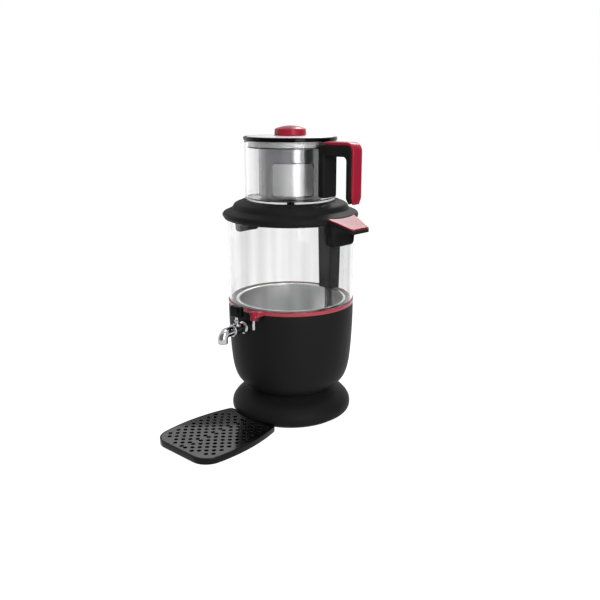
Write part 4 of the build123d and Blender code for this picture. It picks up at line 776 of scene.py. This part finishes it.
def slabGrid(outerCorners, innerCorners, mountHalf, radius, endR):
    # A slab with round edges between two lines of the XZ plane with matching corners. It is wide at the
    # teapot and narrow at the grip, and its ends are rounded by shrinking the last sections.
    outer, inner = finelyRounded(outerCorners), finelyRounded(innerCorners)
    share = np.clip((outer[:, 0] - handle["narrowFrom"]) / handle["narrowOver"], 0, 1)
    halfWidths = mountHalf + (handle["gripHalf"] - mountHalf) * share * share * (3 - 2 * share)
    middle, rise = (outer + inner) / 2, (outer - inner) / 2
    half = np.linalg.norm(rise, axis=1)
    gone = np.concatenate([[0], np.cumsum(np.linalg.norm(np.diff(middle, axis=0), axis=1))])
    toEnd = np.minimum(gone, gone[-1] - gone)
    shrink = endR - np.sqrt(np.clip(endR ** 2 - np.clip(endR - toEnd, 0, endR) ** 2, 0, None))
    sections = roundedSection(*(np.maximum(size - shrink, 0.01) for size in (halfWidths, half)), radius)
    caps = np.zeros_like(sections[:1])
    sections = np.concatenate([caps, sections, caps])
    middle = np.concatenate([middle[:1], middle, middle[-1:]])
    up = rise / half[:, None]
    up = np.concatenate([up[:1], up, up[-1:]])
    centres = np.column_stack([middle[:, 0], np.zeros(len(middle)), middle[:, 1]])
    ups = np.column_stack([up[:, 0], np.zeros(len(up)), up[:, 1]])
    sides = np.broadcast_to([0.0, 1.0, 0.0], centres.shape)
    return sectionGrid(centres, sides, ups, sections)


skinTop, skinOut = handle["top"] - handle["skin"], handle["reach"] - handle["skin"]
skinInnerR = handle["cornerR"] - handle["skin"]
skinGrid = slabGrid(
    [(handle["skinStart"], handle["top"], 0), (handle["reach"], handle["top"], handle["cornerR"]),
     (handle["reach"], handle["skinLow"], 0)],
    [(handle["skinStart"], skinTop, 0), (skinOut, skinTop, skinInnerR), (skinOut, handle["skinLow"], 0)],
    handle["skinHalf"], handle["skinEdgeR"], handle["skinEndR"])
handleSkin = makePiece("handleCover", [(skinGrid, False, True)], 50)
settle(handleSkin, "teapot", "gloss_red", "glossRed", "handle_cover")

inX = handle["reach"] - handle["gripDepth"]
barGrid = slabGrid(
    [(handle["mountX"], skinTop, 0), (skinOut, skinTop, skinInnerR), (skinOut, handle["gripLow"], 0)],
    [(handle["mountX"], handle["barLow"], 0), (inX, handle["barLow"], handle["fingerR"]),
     (inX, handle["gripLow"], 0)], handle["mountHalf"], handle["edgeR"], handle["endR"])


def mountGrid():
    # The block on the teapot: its back follows the glass, and every level is the same outline, drawn in a
    # little where the block's ends are rounded.
    half, glassR, out, footR = (handle[key] for key in ("mountHalf", "mountX", "mountOut", "mountFootR"))
    reach = np.arcsin(half / glassR)
    back = arc((0, 0), glassR, reach, -reach, 9)
    front = roundedPath([(back[0, 0], -half, 0), (out, -half, handle["mountEdgeR"]),
                         (out, half, handle["mountEdgeR"]), (back[0, 0], half, 0)], closed=False, steps=7)
    outline = np.vstack([front, back[1:-1]])
    levels = np.vstack([roundedEdge(handle["mountLow"], -footR, 7)[::-1],
                        [[skinTop - handle["mountTopR"], 0.0], [skinTop, handle["mountTopR"]]]])
    middle = np.array([(glassR + out) / 2, 0.0])
    shrink = (1 - levels[:, 1] / [[handle["mountDraw"]], [half]]).T
    drawn = middle + (outline - middle)[None] * shrink[:, None, :]
    point = np.broadcast_to(middle, drawn[:1].shape)
    heights = np.concatenate([levels[:1, 0], levels[:, 0], levels[-1:, 0]])[:, None, None]
    drawn = np.concatenate([point, drawn, point])
    return np.concatenate([drawn, np.broadcast_to(heights, drawn[..., :1].shape)], axis=2)


handleFrame = makePiece("handleFrame", [(barGrid, False, True), (mountGrid(), False, True)], 50)
settle(handleFrame, "teapot", "matte_black", "mattePlastic", "handle_frame")
print("handle made")

# Tap

tap = {"height": 138.5, "tubeR": 6.3, "boreR": 4.6, "lipR": 0.45, "start": -84.0, "spoutY": -126.5,
       "spoutLow": 125.4, "bendR": 7.6, "valveY": -101.8, "sleeveIn": 0.4, "collarR": 7.9,
       "collarFrom": 108.1, "collarTo": 110.9, "bossR": 4.7, "bossLow": 143.5, "bossTop": 146.6,
       "flangeR": 8.2, "flangeFrom": 86.4, "flangeTo": 91.4, "stemR": 2.2, "stemGap": 0.06, "bandR": 3.1,
       "knobLow": 156.0, "knobHeight": 13.6, "knobHalfLength": 10.6, "knobHalfWidth": 5.0,
       "knobLowR": 0.8, "knobTopR": 2.6}
tapLine = evenly(roundedPath([
    (tap["start"], tap["height"], 0), (tap["spoutY"], tap["height"], tap["bendR"]),
    (tap["spoutY"], tap["spoutLow"], 0)], closed=False, steps=24), 70)
tapPath = np.column_stack([np.zeros(len(tapLine)), tapLine])
lipShrink = np.zeros(len(tapPath))
lipShrink[-1] = tap["lipR"]
outerTube = tubeGrid(tapPath, tap["tubeR"] - lipShrink, 56)
innerTube = tubeGrid(tapPath, tap["boreR"] + lipShrink * 0.6, 56)
tapTube = makePiece("tapTube", [(np.concatenate([outerTube, innerTube[::-1]]), True, True)], 45)
settle(tapTube, "base", "chrome", "chrome", "tap_body")

tubeCentre, valveCentre = (0, 0, tap["height"]), (0, tap["valveY"], 0)
sleeveR = tap["tubeR"] - tap["sleeveIn"]
tapFlange = lathed("tapFlange", tap, 96, [
    (sleeveR, "flangeFrom", 0), ("flangeR", "flangeFrom", 0.3), ("flangeR", "flangeTo", 1.1),
    (tap["tubeR"] + 1.2, tap["flangeTo"] + 0.5, 1.0), (sleeveR, tap["flangeTo"] + 1.4, 0)],
    axis="y", centre=tubeCentre)
settle(tapFlange, "base", "chrome", "chrome")
tapCollar = lathed("tapCollar", tap, 96, [
    (sleeveR, "collarFrom", 0), ("collarR", "collarFrom", 1.0), ("collarR", "collarTo", 1.0),
    (sleeveR, "collarTo", 0)], axis="y", centre=tubeCentre)
settle(tapCollar, "base", "chrome", "chrome")
stemHoleR = tap["stemR"] + tap["stemGap"]
tapBoss = lathed("tapBoss", tap, 72, [
    (stemHoleR, "bossLow", 0), ("bossR", "bossLow", 0), ("bossR", "bossTop", 0.9),
    (stemHoleR, "bossTop", 0.3)], centre=valveCentre)
settle(tapBoss, "base", "chrome", "chrome")


def stadiumSolid(halfLength, halfWidth, low, high, bottomR, topR):
    # A bar with round ends whose outline is drawn in towards its top and bottom edges
    levels = np.vstack([[[low, halfWidth]], roundedEdge(low, -bottomR, 9)[::-1],
                        roundedEdge(high, topR, 9), [[high, halfWidth]]])
    outline = roundedSection(halfLength - levels[:, 1], halfWidth - levels[:, 1], halfWidth, 12)
    heights = np.broadcast_to(levels[:, 0][:, None, None], outline[..., :1].shape)
    return np.concatenate([outline, heights], axis=2)


knobGrid = stadiumSolid(tap["knobHalfLength"], tap["knobHalfWidth"], tap["knobLow"],
                        tap["knobLow"] + tap["knobHeight"], tap["knobLowR"], tap["knobTopR"])
tapKnob = makePiece("tapKnob", [(knobGrid + np.array(valveCentre), False, True)], 50)
settle(tapKnob, "tap_handle", "gloss_black", "glossBlack", "tap_knob")
bossTop, stemTop = tap["bossTop"], tap["knobLow"] + 1.0
tapStem = lathed("tapStem", tap, 64, [
    (0, bossTop - 3.0, 0), ("stemR", bossTop - 3.0, 0), ("stemR", bossTop + 2.2, 0.4),
    ("bandR", bossTop + 3.0, 0.4), ("bandR", bossTop + 4.4, 0.4), ("stemR", bossTop + 5.2, 0.4),
    ("stemR", stemTop, 0), (0, stemTop, 0)], centre=valveCentre)
settle(tapStem, "tap_handle", "chrome", "chrome", "tap_stem")
print("tap made")

# Brewing toggle

for node, name, finish, bevel in (("toggle_housing", "toggleHousing", "glossRed", 0.35),
                                  ("toggle_bracket", "toggleBracket", "bracketRed", 0.7)):
    settle(softenedCopy(node, name, bevel), "base", "gloss_red", finish, node)
settle(softenedCopy("toggle_rod", "toggleRod"), "toggle", "chrome", "chrome", "toggle_rod")

# Side grips

for side in ("right", "left"):
    grip = softenedCopy(side + "_grip", side + "Grip", 0.7)
    settle(grip, "tank_lid", "matte_black", "mattePlastic", side + "_grip")
    cover = softenedCopy(side + "_grip_cover", side + "GripCover", 0.6, 4)
    settle(cover, "tank_lid", "gloss_red", "glossRed", side + "_grip_cover")
print("toggle and grips made")

# Drip tray

tray = {"half": 54.4, "widest": -150.0, "sideR": 234.0, "back": -76.5, "front": -205.0, "top": 9.2,
        "wall": 1.8, "floor": 2.3, "cornerR": 24.0, "backR": 6.0, "backRim": 3.0, "low": 0.9,
        "gridLow": 7.6, "footR": 83.7, "innerWall": 3.2, "middleY": -140.0, "points": 260,
        "tongueHalf": 21.0, "tongueLow": 5.0, "tongueHigh": 7.0, "tongueStart": -84.9, "tongueEnd": -68.0}


def trayLine(margin, scooped):
    # The tray's outline drawn in by a margin: bowed sides that run into round corners, and behind them a
    # scoop that follows the foot, or a straight line for what lies inside the rim. Every arc keeps its
    # centre, and its radius takes up the margin.
    sideX = tray["half"] - tray["sideR"]
    back = tray["back"] if scooped else tray["wall"] - tray["footR"] - tray["backRim"]
    turns, centres = [-pi / 2], []
    for corner, y in ((tray["cornerR"], tray["front"] + tray["cornerR"]),
                      (tray["backR"], back - tray["backR"])):
        reach, offset = tray["sideR"] - corner, y - tray["widest"]
        centres.append((sideX + (reach ** 2 - offset ** 2) ** 0.5, y))
        turns.append(np.arcsin(offset / reach))
    footR = tray["footR"] + margin
    meet = np.arccos((margin - back) / footR) if scooped else 0.0
    behind = arc((0, 0), footR, meet - pi / 2, -pi / 2, 13) if scooped else [[0, back - margin]]
    rightHalf = np.vstack([
        [[0, tray["front"] + margin]], arc(centres[0], tray["cornerR"] - margin, turns[0], turns[1], 14),
        arc((sideX, tray["widest"]), tray["sideR"] - margin, turns[1], turns[2], 30),
        arc(centres[1], tray["backR"] - margin, turns[2], pi / 2, 8), behind])
    leftHalf = rightHalf[::-1] * [-1, 1]
    return evenly(np.vstack([rightHalf, leftHalf[1:]]), tray["points"] + 1)[:-1]


def trayShell(levels):
    # Rings of the outline at (margin, height) levels, closed over the middle at both ends
    rings = [np.column_stack([trayLine(margin, margin < 1), np.full(tray["points"], height)])
             for margin, height in levels]
    ends = [np.broadcast_to([0.0, tray["middleY"], height], rings[0].shape)
            for margin, height in (levels[0], levels[-1])]
    return np.stack([ends[0], *rings, ends[1]])


low, top, wall, innerWall = (tray[key] for key in ("low", "top", "wall", "innerWall"))
trayLevels = [
    (0.9, low), (0.45, low + 0.15), (0.12, low + 0.45), (0, low + 1.0), (0, top - 0.7), (0.1, top - 0.3),
    (0.35, top - 0.08), (0.65, top), (wall - 0.3, top), (wall - 0.05, top - 0.15), (wall, top - 0.4),
    (wall, tray["gridLow"]), (innerWall, tray["gridLow"]), (innerWall, tray["floor"] + 0.8),
    (innerWall + 0.3, tray["floor"] + 0.2), (innerWall + 1.0, tray["floor"])]
tongue = boxGrid((-tray["tongueHalf"], tray["tongueStart"], tray["tongueLow"]),
                 (tray["tongueHalf"], tray["tongueEnd"], tray["tongueHigh"]))
trayPan = makePiece("trayPan", [(trayShell(trayLevels), False, True), (tongue, False, True)], 40)
settle(trayPan, "drip_tray", "gloss_black", "trayBlack", "tray_pan")
trayGrid = softenedCopy("tray_grid", "trayGrid", 0.42, bevelAngle=50)
settle(trayGrid, "drip_grid", "gloss_black", "gridBlack", "tray_grid")
print("tray made")

# CAD nodes that keep their own shape

plainNodes = {
    "rubber": ["foot_ring", "tap_washer", "tap_inner_washer", "cord_gland", "tray_pads"],
    "silicone": ["tank_seal", "lid_gasket", "pot_lid_seal", "jug_valve", "handle_pad", "brew_nozzle"],
    "innerPlastic": ["bottom_cover", "lid_underplate", "microswitch"],
    "columnPlastic": ["riser_column"],
    "screwSteel": ["cover_screws", "neck_screws", "handle_screws", "pot_lid_screw", "toggle_pin",
                   "tap_nut"],
    "cupSteel": ["infuser_base", "riser_tube"],
    "bowlSteel": ["steam_plate"],
    "castAluminium": ["heater_plate", "heater_element", "thermostat", "thermal_fuse"],
}
for finish, nodes in plainNodes.items():
    for node in nodes:
        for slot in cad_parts[node].material_slots:
            slot.material = finishes[finish]
print("other nodes finished")

# Stage, light and camera


def flatSheet(name, width, height):
    # A rectangle about its own middle, facing up before it is turned
    data = bpy.data.meshes.new(name)
    data.from_pydata([(x * width / 2, y * height / 2, 0) for x, y in ((-1, -1), (1, -1), (1, 1), (-1, 1))],
                     [], [(0, 1, 2, 3)])
    return newObject(name, data)


def glowing(finish, grey, level):
    # A dull grey surface that gives off white light of a level
    return finish.surface(**{
        "Base Color": (grey, grey, grey), "Roughness": 1.0, "Specular IOR Level": 0.0,
        "Emission Color": (1.0, 1.0, 1.0), "Emission Strength": level})


def aimed(holder, place, aim):
    holder.location = place
    holder.rotation_euler = (Vector(aim) - Vector(place)).to_track_quat("-Z", "Y").to_euler()


def around(azimuth, distance, height):
    # A point at an azimuth counted from -Y towards +X
    return (distance * sin(radians(azimuth)), -distance * cos(radians(azimuth)), height)


def seenRays(finish):
    # 1 for rays that look at the white background: from the camera, from a mirror or through glass
    rays = finish.node("ShaderNodeLightPath", {}, {})
    camera, mirror, glass = (Signal(finish, rays.outputs["Is %s Ray" % kind])
                             for kind in ("Camera", "Glossy", "Transmission"))
    return (camera + mirror + glass).clamped()


floor = flatSheet("floor", 12, 12)
floorFinish = newFinish("floorFinish")
floor.data.materials.append(glowing(floorFinish, 0.5, seenRays(floorFinish) * 0.96))

world = bpy.data.worlds.new("studio")
bpy.context.scene.world = world
worldMaker = Finish(world)
sky = worldMaker.node("ShaderNodeBackground", {}, {"Color": (1.0, 1.0, 1.0)})
worldMaker.feed(sky.inputs["Strength"], seenRays(worldMaker) * 0.86 + 0.14)
worldOut = worldMaker.node("ShaderNodeOutputWorld", {}, {})
worldMaker.tree.links.new(sky.outputs[0], worldOut.inputs["Surface"])


def softBox(name, place, aim, size, power, diffuse=True):
    lamp = bpy.data.lights.new(name, "AREA")
    lamp.shape = "RECTANGLE"
    lamp.size, lamp.size_y = size
    lamp.energy = power
    holder = newObject(name, lamp)
    aimed(holder, place, aim)
    holder.visible_camera = False
    holder.visible_diffuse = diffuse


def greyCard(name, place, aim, size, level):
    # A dark card beside the lamps, seen only in glossy surfaces, which gives metal and plastic a dark side
    card = flatSheet(name, *size)
    aimed(card, place, aim)
    card.visible_camera = card.visible_diffuse = card.visible_shadow = card.visible_transmission = False
    card.data.materials.append(glowing(newFinish(name + "Finish"), 0.0, level))


cards = {
    "frontCard": dict(place=around(8, 0.7, 0.42), aim=(0, 0, 0.42), size=(1.3, 0.84), level=0.32),
    "rightCard": dict(place=around(130, 0.7, 0.42), aim=(0, 0, 0.42), size=(0.5, 0.84), level=0.05),
    "backCard": dict(place=(-1.045, 0.405, 0.43), aim=(-0.376, -0.338, 0.43), size=(0.9, 0.2), level=0.0),
}
for name, values in cards.items():
    greyCard(name, **values)
lamps = {
    "keyBox": dict(place=around(66, 1.25, 0.55), aim=(0, 0, 0.2), size=(0.5, 1.2), power=12.0),
    "leftBox": dict(place=around(-80, 1.3, 0.5), aim=(0, 0, 0.25), size=(1.1, 1.1), power=2.5),
    "topBox": dict(place=(0.1, 0.05, 1.5), aim=(0, 0, 0.2), size=(0.9, 0.9), power=5.0),
    "backBox": dict(place=(-0.36, 1.05, 1.2), aim=(0.1, 0, 0.27), size=(0.7, 0.45), power=10.0,
                    diffuse=False),
}
for name, values in lamps.items():
    softBox(name, **values)

camera = bpy.data.cameras.new("camera")
camera.lens = 42.12
camera.sensor_width = 36.0
cameraHolder = newObject("camera", camera)
cameraHolder.location = (0.6336, -0.6850, 0.4140)
cameraHolder.rotation_euler = (radians(74.58), 0.0, radians(42.0))
bpy.context.scene.camera = cameraHolder
bpy.context.scene.view_settings.view_transform = "Standard"
print("stage, light and camera set")
